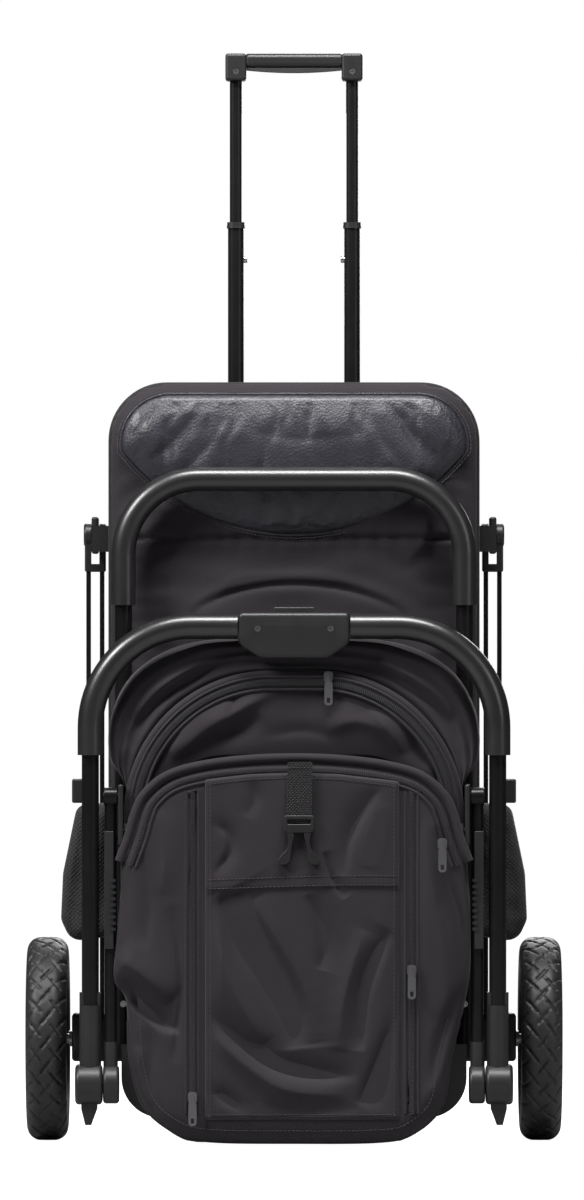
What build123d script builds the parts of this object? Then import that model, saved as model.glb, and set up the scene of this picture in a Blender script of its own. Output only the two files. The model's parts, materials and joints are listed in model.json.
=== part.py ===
from build123d import *
import os

# Folding pet stroller, folded and stood up as a trolley: the frame, its joints and plain soft parts.
# Millimetres, +Z up, -Y to the front. The origin is on the floor, under the middle of the stroller's box.
# The stroller is in its folded pose, with the two-stage pull handle drawn out.

os.makedirs("parts", exist_ok=True)

# ---- driving dimensions -------------------------------------------------------------------------
WHEEL_R = 101.5            # rear wheel, nominal 8 inch
WHEEL_W = 41.0
WHEEL_X = 246.0            # wheel centre from the middle plane
AXLE_Y = 15.0
AXLE_R = 5.0
RIM_R = 72.0
BEARING_R = 11.0
SPOKES = 5
BEAM_Y = (2.0, 29.0)       # cross beam between the rear wheels
BEAM_Z = (79.0, 127.0)
BRAKE_Y = 25.0             # cross pin of the brake pedal
BRAKE_Z = 112.0
BRAKE_PIN_R = 3.0

ARCH_Y = -118.0            # plane of the push handle
ARCH_X = 201.0             # its legs
ARCH_TOP = 514.0
ARCH_BEND = 100.0
TUBE_R = 8.5               # frame tube
TUBE_WALL = 1.5
GRIP_R = 12.6              # foam sleeve over the tube
GRIP_FOOT = 387.0          # lower ends of the foam sleeves
LATCH_X = 55.4             # half the width of the latch housing
LATCH_D = 14.0             # half its depth
LATCH_SCREW = (36.0, 512.0)    # its two screws, from the middle plane and above the floor

HOOP_Y = -75.0             # plane of the base hoop behind the push handle
HOOP_X = 169.0
HOOP_TOP = 660.0
HOOP_BEND = 75.0
HOOP_FOOT = 100.0

FOOT_Z = 62.0              # fold joint at the foot of the push handle
FOOT_PIN_R = 5.0
SOCKET_Z = 84.0            # bottom of the push handle's leg in its foot socket
LINK_X = 181.0             # lower handle tubes, inboard of the push handle
LINK_R = 6.0
LINK_PIVOT_Z = 346.0

BOARD_Y = (-22.0, -14.0)   # stiff base board, front and back faces
BOARD_X = 172.0
PAD_Y = -50.0              # front face of the padded mat
PAD_X = 185.0
PAD_TOP = 757.0
PAD_FOOT = 302.0

BAG_Y = -135.0             # front of the folded cabin
BAG_X = 156.0
BAG_TOP = 383.0
BAG_LOW_R = 60.0           # its lower corners and its dome
BAG_DOME_R = 128.0
TUB_Y = -106.0             # the deeper body behind the front: front face, half width, top
TUB_X = 158.0
TUB_TOP = 297.0
FLAP_Y = -140.0            # front of the panel between the upright zips
FLAP_X = (-88.0, 104.0)
FLAP_Z = (28.0, 352.0)
LEFT_ZIP_X = -100.0
RIGHT_ZIP_X = 116.0
STRAP_X = 5.0              # middle of the strap and its buckle
STRAP_W = 24.6

CANOPY_Y = -110.0          # canopy hoop: plane, pivot height, half width, top
CANOPY_Z = 312.0
CANOPY_X = 163.8
CANOPY_TOP = 466.0
CANOPY_BEND = 140.0
CANOPY_ROD_R = 3.6
CANOPY_PIN_R = 3.0

KNUCKLE_Z = 605.0          # pivot of the rear legs
KNUCKLE_Y = 8.0
PIVOT_R = 4.0              # pins of the legs and of the lower handle
LEG_BARS = ((189.5, 194.0), (203.0, 207.5))    # x limits of the two flat bars of a leg
LEG_BAR_Y = (2.0, 14.0)
LEG_BAR_Z = (120.0, 574.0)

FRONT_LEG_X = 150.0
FRONT_LEG_Y = 32.0
FRONT_LEG_Z = 600.0
CASTER_X = 95.0            # swivel axis
CASTER_Y = 125.0
CASTER_TRAIL = 20.0
CASTER_R = 70.0
CASTER_W = 24.0
CASTER_RIM_R = 50.0
STEM_R = 5.0

RAIL_X = 58.0              # pull handle tubes
RAIL_Y = -2.0
RAIL_SIZE, RAIL_BORE = (20.0, 23.2), (16.4, 19.6)      # widths and depths of the three nested tubes
STAGE_SIZE, STAGE_BORE = (15.8, 19.0), (13.0, 16.2)
PULL_SIZE, PULL_BORE = (12.2, 15.4), (9.2, 12.4)
STAGE_TOP = 914.0
TUBE_CORNER = 0.42         # corner radius as a share of the tube's width
PULL_TOP = 1085.3
PULL_SCREW_Z = 1067.5
BUTTON_Z = 880.0
BUTTON_R = 3.5

CENTRE_Y = 13.35           # middle of the box in depth, which becomes the origin
RUN = 0.05                 # radial clearance of a running fit
SCREW_R = 3.1
SIDES = (-1, 1)


# ---- helpers ------------------------------------------------------------------------------------
def block(x, y, z, edge=0.0):
    """Box between two limits on each axis, with its edges rounded."""
    size = [abs(b - a) for a, b in (x, y, z)]
    middle = [(a + b) / 2 for a, b in (x, y, z)]
    solid = Pos(*middle) * Box(*size)
    return fillet(solid.edges(), edge) if edge else solid


def mirrored(x0, x1, side):
    """The x limits of a piece that lies from x0 to x1 on the right, on either side."""
    return (x0, x1) if side > 0 else (-x1, -x0)


def rod(start, end, radius):
    """Round bar between two points."""
    line = Line(start, end)
    return sweep(Plane(origin=start, z_dir=line % 0) * Circle(radius), path=line)


def bent(points, bend, radius, bore=0.0):
    """Round bar or tube along a route with rounded corners."""
    path = FilletPolyline(*points, radius=bend)
    section = Circle(radius) - Circle(bore) if bore else Circle(radius)
    return sweep(Plane(origin=path @ 0, z_dir=path % 0) * section, path=path)


def arch_points(half, foot, top, y):
    return [(-half, y, foot), (-half, y, top), (half, y, top), (half, y, foot)]


def slab(outline, y0, y1):
    """A face drawn in X and Z, thickened from y0 at the front to y1 at the back."""
    face = make_face(Plane(origin=(0, y1, 0), x_dir=(1, 0, 0), z_dir=(0, -1, 0)) * outline)
    return extrude(face, amount=y1 - y0, dir=(0, -1, 0))


def rounded_outline(half, bottom, top, low_r, high_r):
    return FilletPolyline(
        (-half, bottom), (half, bottom), (half, top), (-half, top),
        radius=[low_r, low_r, high_r, high_r], close=True)


def oval_tube(x, y, z0, z1, size, bore=None):
    """Upright tube with a rounded rectangular section."""
    solid = extrude(Pos(x, y, z0) * RectangleRounded(*size, size[0] * TUBE_CORNER), amount=z1 - z0)
    if bore:
        solid -= extrude(
            Pos(x, y, z0 - 1) * RectangleRounded(*bore, bore[0] * TUBE_CORNER), amount=z1 - z0 + 2)
    return solid


def disc(x0, x1, y, z, radius, edge=0.0):
    """Round disc with its axis along X."""
    solid = Pos((x0 + x1) / 2, y, z) * Rot(0, 90, 0) * Cylinder(radius, abs(x1 - x0))
    return fillet(solid.edges(), edge) if edge else solid


def screw(x, y, z, radius, length):
    """Pan-head screw whose head faces the front at y."""
    head = Pos(x, y, z) * Rot(90, 0, 0) * Cylinder(radius, 1.6, align=(Align.CENTER, Align.CENTER, Align.MIN))
    shank = Pos(x, y, z) * Rot(-90, 0, 0) * Cylinder(
        radius * 0.5, length, align=(Align.CENTER, Align.CENTER, Align.MIN))
    cross = Pos(x, y - 1.6, z) * (Box(radius * 1.2, 1.4, 0.7) + Box(0.7, 1.4, radius * 1.2))
    return head + shank - cross


def save(name, *solids):
    placed = [Pos(0, -CENTRE_Y, 0) * solid for solid in solids]
    export_step(placed[0] if len(placed) == 1 else Compound(children=placed), f"parts/{name}.step")


# ---- base: board, mat, hoop ----------------------------------------------------------------------
def base_board():
    return slab(rounded_outline(BOARD_X, 24, 745, 40, 50), *BOARD_Y)


def base_hoop():
    return bent(arch_points(HOOP_X, HOOP_FOOT, HOOP_TOP, HOOP_Y), HOOP_BEND, TUBE_R, TUBE_R - TUBE_WALL)


def hoop_grip():
    return bent(arch_points(HOOP_X, 535, HOOP_TOP, HOOP_Y), HOOP_BEND, 12.0, TUBE_R)


def back_pad():
    pad = slab(rounded_outline(PAD_X, PAD_FOOT, PAD_TOP, 20, 58), PAD_Y, BOARD_Y[0])
    for side in SIDES:
        pad -= block(mirrored(150, 190, side), (-60, -20), (290, 392))
    return fillet(pad.edges().filter_by(Plane.XZ).group_by(Axis.Y)[0], 7)


def pillow():
    """Crescent headrest: rounded top corners, a long arc along the lower edge."""
    half, top, side_z, low = 173, 745, 688, 604
    edge = [
        Line((-half, side_z), (-half, top - 50)),
        RadiusArc((-half, top - 50), (-half + 50, top), 50),
        Line((-half + 50, top), (half - 50, top)),
        RadiusArc((half - 50, top), (half, top - 50), 50),
        Line((half, top - 50), (half, side_z)),
        ThreePointArc((half, side_z), (0, low), (-half, side_z)),
    ]
    return slab(Curve() + edge, -62, PAD_Y)


def hoop_brackets():
    """Side brackets clamped on the hoop: they carry the handle pivots and the canopy hoop."""
    parts = []
    for side in SIDES:
        plate = block(mirrored(168.5, 173.5, side), (-129, -84), (298, 358), 2)
        clamp = block(mirrored(159, 179, side), (-86, -64), (304, 352), 3)
        clamp -= rod((side * HOOP_X, HOOP_Y, 290), (side * HOOP_X, HOOP_Y, 370), TUBE_R)
        pin = disc(*mirrored(168.5, 188, side), ARCH_Y, LINK_PIVOT_Z, PIVOT_R)
        hoop_pin = disc(*mirrored(159, 168.5, side), CANOPY_Y, CANOPY_Z, CANOPY_PIN_R)
        parts.append(plate + clamp + pin + hoop_pin)
    return parts


def knuckle_brackets():
    """Plates behind the board with the tabs that the rear legs and front legs turn on."""
    parts = []
    for side in SIDES:
        plate = block(mirrored(95, 202, side), (-14, -8), (588, 614))
        tab = block(mirrored(195, 202, side), (-14, 19), (586, 623), 2.5)
        ears = [block(mirrored(a, b, side), (-14, 42), (586, 614), 1.5) for a, b in ((136, 140), (160, 164))]
        pin = disc(*mirrored(138, 162, side), FRONT_LEG_Y, FRONT_LEG_Z, PIVOT_R)
        stud = disc(*mirrored(187.2, 209.8, side), KNUCKLE_Y, KNUCKLE_Z, PIVOT_R)
        parts.append(plate + tab + ears[0] + ears[1] + pin + stud)
    return parts


def handle_rails():
    return [oval_tube(s * RAIL_X, RAIL_Y, 520, 748, RAIL_SIZE, RAIL_BORE) for s in SIDES]


def rail_clips():
    """Flat straps that hold the two rails on the board."""
    parts = []
    for z in (540, 715):
        strap = block((-84, 84), (9.6, 11.6), (z, z + 16))
        for side in SIDES:
            strap += block(mirrored(68.2, 84, side), (-14, 11.6), (z, z + 16))
        parts.append(strap)
    return parts


# ---- soft parts on the base ------------------------------------------------------------------------
def cabin_bag():
    """Folded cabin: a front slab with a domed top and a deeper body behind it."""
    front = slab(rounded_outline(BAG_X, 0, BAG_TOP, BAG_LOW_R, BAG_DOME_R), BAG_Y, TUB_Y)
    body = slab(rounded_outline(TUB_X, 0, TUB_TOP, BAG_LOW_R, 30), TUB_Y, BOARD_Y[0])
    return front + body


def front_flap():
    (left, right), (low, high) = FLAP_X, FLAP_Z
    outline = FilletPolyline((left, low), (right, low), (right, high), (left, high), radius=12, close=True)
    return slab(outline, FLAP_Y, BAG_Y)


def canopy_folds():
    """Stack of canopy folds over the cabin, notched round the hoop legs."""
    front = slab(rounded_outline(166, 388, 502, 1, 100), -103.5, -86)
    rear = slab(rounded_outline(158, 300, 500, 1, 92), -86, -52)
    return front + rear


def side_cloth():
    parts = []
    for side in SIDES:
        outline = FilletPolyline(
            (side * 160, 206), (side * 226, 206), (side * 232, 260), (side * 215, 338), (side * 160, 338),
            radius=10, close=True)
        parts.append(slab(outline, -47, -23))
    return parts


def strap():
    return block((STRAP_X - STRAP_W / 2, STRAP_X + STRAP_W / 2), (FLAP_Y - 3.6, FLAP_Y), (328.2, 380))


def side_release_buckle():
    """Male half: a loop bar and two splayed prongs."""
    middle = STRAP_X
    body = block((middle - 15, middle + 15), (-146, -140.2), (312, 328), 1.2)
    body -= block((middle - 11.5, middle + 11.5), (-150, -139), (319, 324))
    guide = block((middle - 2, middle + 2), (-144.5, -141.5), (290, 313))
    buckle = body + guide
    for side in SIDES:
        prong = slab(FilletPolyline(
            (middle + side * 6, 313), (middle + side * 12, 313), (middle + side * 13, 298),
            (middle + side * 19.5, 290), (middle + side * 16, 281), (middle + side * 9.5, 284),
            (middle + side * 7, 298), radius=1.6, close=True), -145.5, -140.8)
        buckle += prong
    return buckle


def basket_clips():
    return [block(mirrored(208, 221, s), (-38, -22), (338, 362), 2) for s in SIDES]


# ---- canopy hoop and zip sliders -------------------------------------------------------------------
def canopy_hoop():
    hoop = bent(arch_points(CANOPY_X, CANOPY_Z + 6, CANOPY_TOP, CANOPY_Y), CANOPY_BEND, CANOPY_ROD_R)
    for side in SIDES:
        hoop += disc(*mirrored(160.2, 167.4, side), CANOPY_Y, CANOPY_Z, 8, 1)
    for side in SIDES:
        hoop -= disc(*mirrored(150, 180, side), CANOPY_Y, CANOPY_Z, CANOPY_PIN_R + RUN)
    return hoop


def zip_slider(x, y_back, z):
    """Zip slider with its pull tab hanging down, its back face at y_back."""
    body = Pos(0, -0.1, 0) * extrude(Plane.XZ * RectangleRounded(9, 11, 3), amount=4.2)
    bail = Pos(0, -5.2, -1) * Box(3, 2.4, 8)
    tab = Pos(0, -4.6, -16) * extrude(Plane.XZ * RectangleRounded(8, 24, 3.6), amount=1.8)
    hole = Pos(0, -5.6, -23) * Box(3.4, 6, 5)
    return Pos(x, y_back, z) * (body + bail + tab - hole)


# ---- pull handle -----------------------------------------------------------------------------------
def stage_tubes():
    parts = []
    for side in SIDES:
        tube = oval_tube(side * RAIL_X, RAIL_Y, 700, STAGE_TOP, STAGE_SIZE, STAGE_BORE)
        tube -= disc(*mirrored(48, 54, side), RAIL_Y, BUTTON_Z, BUTTON_R + RUN)
        parts.append(tube)
    return parts


def stage_collars():
    """Collars that close the top of each stage tube round the next one."""
    return [
        oval_tube(s * RAIL_X, RAIL_Y, STAGE_TOP - 3, STAGE_TOP, (18, 21.4), STAGE_SIZE)
        + oval_tube(s * RAIL_X, RAIL_Y, STAGE_TOP, STAGE_TOP + 3, (17.4, 20.8), (12.7, 15.9))
        for s in SIDES]


def snap_button(side):
    return disc(*mirrored(46.6, 55, side), RAIL_Y, BUTTON_Z, BUTTON_R, 0.6)


def pull_tubes():
    parts = []
    for side in SIDES:
        tube = oval_tube(side * RAIL_X, RAIL_Y, 862, 1060, PULL_SIZE, PULL_BORE)
        tube -= block(mirrored(50, 55.5, side), (RAIL_Y - 4.5, RAIL_Y + 4.5), (870, 1026))
        parts.append(tube)
    return parts


def pull_grip():
    """Moulded grip: two end blocks that take the tubes and a bar between them."""
    grip = block((-50, 50), (-13, 9), (1071, PULL_TOP), 5)
    for side in SIDES:
        grip += block(mirrored(47.5, 68.5, side), (-14.5, 10.5), (1058, PULL_TOP), 3)
    for side in SIDES:
        grip -= extrude(
            Pos(side * RAIL_X, RAIL_Y, 1050) * RectangleRounded(*PULL_SIZE, PULL_SIZE[0] * TUBE_CORNER),
            amount=10)
        grip -= Pos(side * RAIL_X, -14.5, PULL_SCREW_Z) * Rot(90, 0, 0) * Cylinder(3.2, 5)
        grip -= Pos(side * RAIL_X, -14.5, PULL_SCREW_Z) * Rot(90, 0, 0) * Cylinder(1.7, 30)
    return grip


def grip_insert():
    """Soft lower half of the grip, with a slight belly."""
    outline = Curve() + [
        Line((-47.4, 1070.9), (47.4, 1070.9)),
        Line((47.4, 1070.9), (47.4, 1069)),
        ThreePointArc((47.4, 1069), (0, 1066.4), (-47.4, 1069)),
        Line((-47.4, 1069), (-47.4, 1070.9)),
    ]
    return slab(outline, -11, 7)


# ---- rear legs and wheels ----------------------------------------------------------------------------
def knuckle_housings():
    """Fork at the top of each rear leg, open in the middle for the tab that it turns on."""
    parts = []
    for side in SIDES:
        body = disc(*mirrored(187, 210, side), KNUCKLE_Y, KNUCKLE_Z, 11.5, 2.5)
        body += block(mirrored(188, 209, side), (0, 16), (568, KNUCKLE_Z), 2)
        body -= block(mirrored(194.4, 202.6, side), (-20, 40), (576, 640))
        body -= disc(*mirrored(180, 220, side), KNUCKLE_Y, KNUCKLE_Z, PIVOT_R + RUN)
        for x0, x1 in LEG_BARS:
            body -= block(mirrored(x0, x1, side), LEG_BAR_Y, (560, LEG_BAR_Z[1]))
        parts.append(body)
    return parts


def leg_bars():
    return [
        block(mirrored(x0, x1, side), LEG_BAR_Y, LEG_BAR_Z)
        - block(mirrored(x0 - 1, x1 + 1, side), (5, 11), (250, 262))
        for side in SIDES for x0, x1 in LEG_BARS]


def axle_beam():
    """Moulded cross beam between the wheels, with a pocket for each leg bar."""
    beam = block((-222, 222), BEAM_Y, BEAM_Z, 4)
    for side in SIDES:
        for x0, x1 in LEG_BARS:
            beam -= block(mirrored(x0, x1, side), LEG_BAR_Y, (LEG_BAR_Z[0], 140))
        beam -= disc(*mirrored(196, 230, side), AXLE_Y, WHEEL_R, AXLE_R)
    beam -= block((-34, 34), (17, 40), (84, 122))
    for side in SIDES:
        beam -= disc(*mirrored(30, 44, side), BRAKE_Y, BRAKE_Z, BRAKE_PIN_R)
    return beam


def axle_shafts():
    return [
        disc(*mirrored(196, 262, s), AXLE_Y, WHEEL_R, AXLE_R)
        + disc(*mirrored(222.2, 224.6, s), AXLE_Y, WHEEL_R, 8)
        for s in SIDES]


def brake_pedal():
    """Foot pedal in the back of the beam, on its own cross pin."""
    pedal = block((-32, 32), (21.8, 31), (98, 118), 2)
    pedal += block((-26, 26), (26, 44), (92, 100), 2.5)
    pedal += disc(-43, 43, BRAKE_Y, BRAKE_Z, BRAKE_PIN_R - RUN)
    return pedal


def tyre(side):
    """Foam tyre, plain outside, at the full height of its tread."""
    half = WHEEL_W / 2
    section = Plane.XZ * (Pos(half, RIM_R + (WHEEL_R - RIM_R) / 2) * RectangleRounded(
        WHEEL_W, WHEEL_R - RIM_R, 13.5))
    ring = revolve(section, Axis.X, 360)
    return Pos(side * WHEEL_X - half, AXLE_Y, WHEEL_R) * ring


def rim(side):
    """Moulded rim with spokes and a hub."""
    x = side * WHEEL_X
    y, z = AXLE_Y, WHEEL_R
    wheel = disc(x - 13, x + 13, y, z, RIM_R) - disc(x - 20, x + 20, y, z, RIM_R - 7)
    wheel += disc(x - 17, x + 17, y, z, 20, 2)
    for i in range(SPOKES):
        wheel += Pos(x, y, z) * Rot(360 / SPOKES * i, 0, 0) * Pos(0, 0, 42) * Box(12, 11, 50)
    wheel -= disc(x - 30, x + 30, y, z, BEARING_R)
    return wheel


def bearings(side):
    """A ball bearing at each end of the hub, drawn as its rings."""
    x = side * WHEEL_X
    return [disc(x + a, x + a + 8, AXLE_Y, WHEEL_R, BEARING_R)
            - disc(x + a - 1, x + a + 9, AXLE_Y, WHEEL_R, AXLE_R + RUN) for a in (-16, 8)]


# ---- front legs and casters ----------------------------------------------------------------------------
def front_leg_tubes():
    parts = []
    for side in SIDES:
        route = [(side * FRONT_LEG_X, FRONT_LEG_Y, 590), (side * FRONT_LEG_X, FRONT_LEG_Y, 270),
                 (side * CASTER_X, CASTER_Y - 6, 200)]
        leg = bent(route, 60, TUBE_R)
        leg += disc(*mirrored(140.6, 159.4, side), FRONT_LEG_Y, FRONT_LEG_Z, 11, 1)
        leg -= disc(*mirrored(130, 170, side), FRONT_LEG_Y, FRONT_LEG_Z, PIVOT_R + RUN)
        leg -= rod((side * CASTER_X, CASTER_Y, 150), (side * CASTER_X, CASTER_Y, 230), 14)
        parts.append(leg)
    cross = rod((-FRONT_LEG_X + TUBE_R, FRONT_LEG_Y, 400), (FRONT_LEG_X - TUBE_R, FRONT_LEG_Y, 400), 7)
    return parts + [cross]


def caster_sockets():
    parts = []
    for side in SIDES:
        socket = rod((side * CASTER_X, CASTER_Y, 158), (side * CASTER_X, CASTER_Y, 214), 14)
        socket -= rod((side * CASTER_X, CASTER_Y, 150), (side * CASTER_X, CASTER_Y, 206), STEM_R + RUN)
        parts.append(socket)
    return parts


def caster_fork(side):
    """Swivel stem, crown and two arms, with the wheel pin across them."""
    x, y = side * CASTER_X, CASTER_Y - CASTER_TRAIL
    fork = block((x - 19, x + 19), (y - 12, CASTER_Y + 14), (146, 156), 2)
    fork += rod((x, CASTER_Y, 150), (x, CASTER_Y, 205), STEM_R)
    for offset in (-17, 13):
        fork += block((x + offset, x + offset + 4), (y - 11, y + 11), (60, 150), 1.5)
    fork += disc(x - 15, x + 15, y, CASTER_R, PIVOT_R)
    return fork


def caster_tyre(side):
    section = Plane.XZ * (Pos(CASTER_W / 2, (CASTER_R + CASTER_RIM_R) / 2)
                          * RectangleRounded(CASTER_W, CASTER_R - CASTER_RIM_R, 8))
    ring = revolve(section, Axis.X, 360)
    return Pos(side * CASTER_X - CASTER_W / 2, CASTER_Y - CASTER_TRAIL, CASTER_R) * ring


def caster_rim(side):
    x, y = side * CASTER_X, CASTER_Y - CASTER_TRAIL
    wheel = disc(x - 9, x + 9, y, CASTER_R, CASTER_RIM_R) - disc(x - 20, x + 20, y, CASTER_R, 44)
    wheel += disc(x - 4, x + 4, y, CASTER_R, 46) + disc(x - 11.5, x + 11.5, y, CASTER_R, 12)
    return wheel - disc(x - 20, x + 20, y, CASTER_R, PIVOT_R + RUN)


# ---- push handle ----------------------------------------------------------------------------------------
def lower_handle_tubes():
    parts = []
    for side in SIDES:
        x = side * LINK_X
        tube = rod((x, ARCH_Y, FOOT_Z + 22), (x, ARCH_Y, LINK_PIVOT_Z), LINK_R)
        tube += disc(*mirrored(174.2, 187.8, side), ARCH_Y, LINK_PIVOT_Z, 9, 1)
        parts.append(tube - disc(*mirrored(170, 192, side), ARCH_Y, LINK_PIVOT_Z, PIVOT_R + RUN))
    return parts


def inner_joint_housings():
    """Inboard halves of the fold joints, on the lower tubes."""
    parts = []
    for side in SIDES:
        body = disc(*mirrored(172.5, 188.5, side), ARCH_Y, FOOT_Z, 19, 3.5)
        body += rod((side * LINK_X, ARCH_Y, FOOT_Z), (side * LINK_X, ARCH_Y, 104), 7.2)
        body -= rod((side * LINK_X, ARCH_Y, FOOT_Z + 22), (side * LINK_X, ARCH_Y, 120), LINK_R)
        body += disc(*mirrored(180, 204, side), ARCH_Y, FOOT_Z, FOOT_PIN_R)
        parts.append(body)
    return parts


def rack_strips():
    """Toothed strips screwed on the front of the lower tubes."""
    parts = []
    for side in SIDES:
        strip = block(mirrored(178, 187, side), (-126.4, -124.0), (196, 312), 0.6)
        for i in range(9):
            strip += block(mirrored(176, 181, side), (-127.4, -124.4), (214 + 6 * i, 217 + 6 * i))
        strip += block(mirrored(179, 183, side), (-125, -118.5), (200, 308))
        strip -= rod((side * LINK_X, ARCH_Y, 190), (side * LINK_X, ARCH_Y, 320), LINK_R)
        parts.append(strip)
    return parts


def handle_arch():
    return bent(arch_points(ARCH_X, SOCKET_Z, ARCH_TOP, ARCH_Y), ARCH_BEND, TUBE_R, TUBE_R - TUBE_WALL)


def handle_grips():
    parts = []
    for side in SIDES:
        route = [(side * ARCH_X, ARCH_Y, GRIP_FOOT), (side * ARCH_X, ARCH_Y, ARCH_TOP),
                 (side * (LATCH_X + 0.2), ARCH_Y, ARCH_TOP)]
        parts.append(bent(route, ARCH_BEND, GRIP_R, TUBE_R))
    return parts


def outer_joint_housings():
    """Outboard halves of the fold joints, with the sockets of the push handle's legs."""
    parts = []
    for side in SIDES:
        body = disc(*mirrored(189, 216, side), ARCH_Y, FOOT_Z, 20, 4)
        body += rod((side * ARCH_X, ARCH_Y, FOOT_Z), (side * ARCH_X, ARCH_Y, 153), 10.8)
        body -= rod((side * ARCH_X, ARCH_Y, SOCKET_Z), (side * ARCH_X, ARCH_Y, 170), TUBE_R)
        body -= block(mirrored(189, 213, side), (-132, -123), (140, 160))
        body -= disc(*mirrored(180, 204.2, side), ARCH_Y, FOOT_Z, FOOT_PIN_R + RUN)
        body -= block(mirrored(193.6, 210.4, side), (ARCH_Y - 5.4, ARCH_Y + 5.4), (30, 55))
        parts.append(body)
    return parts


def lock_wedges():
    """Wedges that lock the fold joints; they stand out below the housings and draw up."""
    parts = []
    for side in SIDES:
        outline = FilletPolyline(
            (side * 194, 48), (side * 210, 48), (side * 210, 38), (side * 206, 22), (side * 200, 22),
            (side * 194, 38), radius=1, close=True)
        parts.append(slab(outline, ARCH_Y - 5, ARCH_Y + 5))
    return parts


def latch_housing():
    outline = FilletPolyline(
        (-LATCH_X, 528), (LATCH_X, 528), (LATCH_X, 497), (33, 482), (-33, 482), (-LATCH_X, 497),
        radius=[5, 5, 12, 14, 14, 12], close=True)
    body = slab(outline, ARCH_Y - LATCH_D, ARCH_Y + LATCH_D)
    body = fillet(body.edges().filter_by(Plane.XZ), 5)
    body -= rod((-60, ARCH_Y, ARCH_TOP), (60, ARCH_Y, ARCH_TOP), TUBE_R)
    body -= block((-20.4, 20.4), (ARCH_Y - 7.4, ARCH_Y + 7.4), (522.6, 540))
    for side in SIDES:
        x, z = side * LATCH_SCREW[0], LATCH_SCREW[1]
        body -= Pos(x, ARCH_Y - LATCH_D, z) * Rot(90, 0, 0) * Cylinder(3.2, 4)
        body -= Pos(x, ARCH_Y - 12, z) * Rot(90, 0, 0) * Cylinder(1.7, 8)
    return body


def release_button():
    return block((-20, 20), (ARCH_Y - 7, ARCH_Y + 7), (526.8, 533), 1.2)


# ---- fasteners ---------------------------------------------------------------------------------------------
def grip_screws():
    return [screw(s * RAIL_X, -12.4, PULL_SCREW_Z, SCREW_R, 10) for s in SIDES]


def latch_screws():
    return [screw(s * LATCH_SCREW[0], ARCH_Y - LATCH_D + 2, LATCH_SCREW[1], SCREW_R, 2.2) for s in SIDES]


def frame_rivets():
    """Rivets on the hoop legs, facing the front."""
    parts = []
    for side in SIDES:
        for z in (240, 201, 140):
            cap = Pos(side * HOOP_X, HOOP_Y - TUBE_R, z) * Rot(90, 0, 0) * Cylinder(
                3.2, 1.6, align=(Align.CENTER, Align.CENTER, Align.MIN))
            cap += Pos(side * HOOP_X, HOOP_Y - TUBE_R + 2, z) * Rot(90, 0, 0) * Cylinder(1.5, 5)
            cap -= rod((side * HOOP_X, HOOP_Y, z - 9), (side * HOOP_X, HOOP_Y, z + 9), TUBE_R)
            parts.append(cap)
    return parts


save("base_board", base_board())
save("base_hoop", base_hoop())
save("hoop_grip", hoop_grip())
save("back_pad", back_pad())
save("pillow", pillow())
save("hoop_brackets", *hoop_brackets())
save("knuckle_brackets", *knuckle_brackets())
save("handle_rails", *handle_rails())
save("rail_clips", *rail_clips())
save("cabin_bag", cabin_bag())
save("front_flap", front_flap())
save("canopy_folds", canopy_folds())
save("side_cloth", *side_cloth())
save("strap", strap())
save("buckle", side_release_buckle())
save("basket_clips", *basket_clips())
save("frame_rivets", *frame_rivets())
save("canopy_hoop", canopy_hoop())
save("zip_slider_left", zip_slider(LEFT_ZIP_X, BAG_Y - 0.3, 50))
save("zip_slider_right", zip_slider(RIGHT_ZIP_X, BAG_Y - 0.3, 175))
save("zip_slider_canopy", zip_slider(34, CANOPY_Y - 4, CANOPY_TOP - 2))
save("zip_slider_cabin", zip_slider(146, FLAP_Y - 2, 300))
save("stage_tubes", *stage_tubes())
save("stage_collars", *stage_collars())
save("pull_tubes", *pull_tubes())
save("pull_grip", pull_grip())
save("grip_insert", grip_insert())
save("grip_screws", *grip_screws())
save("knuckle_housings", *knuckle_housings())
save("leg_bars", *leg_bars())
save("axle_beam", axle_beam())
save("axle_shafts", *axle_shafts())
save("brake_pedal", brake_pedal())
save("front_leg_tubes", *front_leg_tubes())
save("caster_sockets", *caster_sockets())
save("lower_handle_tubes", *lower_handle_tubes())
save("inner_joint_housings", *inner_joint_housings())
save("rack_strips", *rack_strips())
save("handle_arch", handle_arch())
save("handle_grips", *handle_grips())
save("outer_joint_housings", *outer_joint_housings())
save("lock_wedges", *lock_wedges())
save("latch_housing", latch_housing())
save("latch_screws", *latch_screws())
save("release_button", release_button())
for word, side in (("left", -1), ("right", 1)):
    save(f"snap_button_{word}", snap_button(side))
    save(f"tyre_{word}", tyre(side))
    save(f"rim_{word}", rim(side))
    save(f"bearings_{word}", *bearings(side))
    save(f"caster_fork_{word}", caster_fork(side))
    save(f"caster_tyre_{word}", caster_tyre(side))
    save(f"caster_rim_{word}", caster_rim(side))
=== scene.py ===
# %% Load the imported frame
import json
import math

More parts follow.
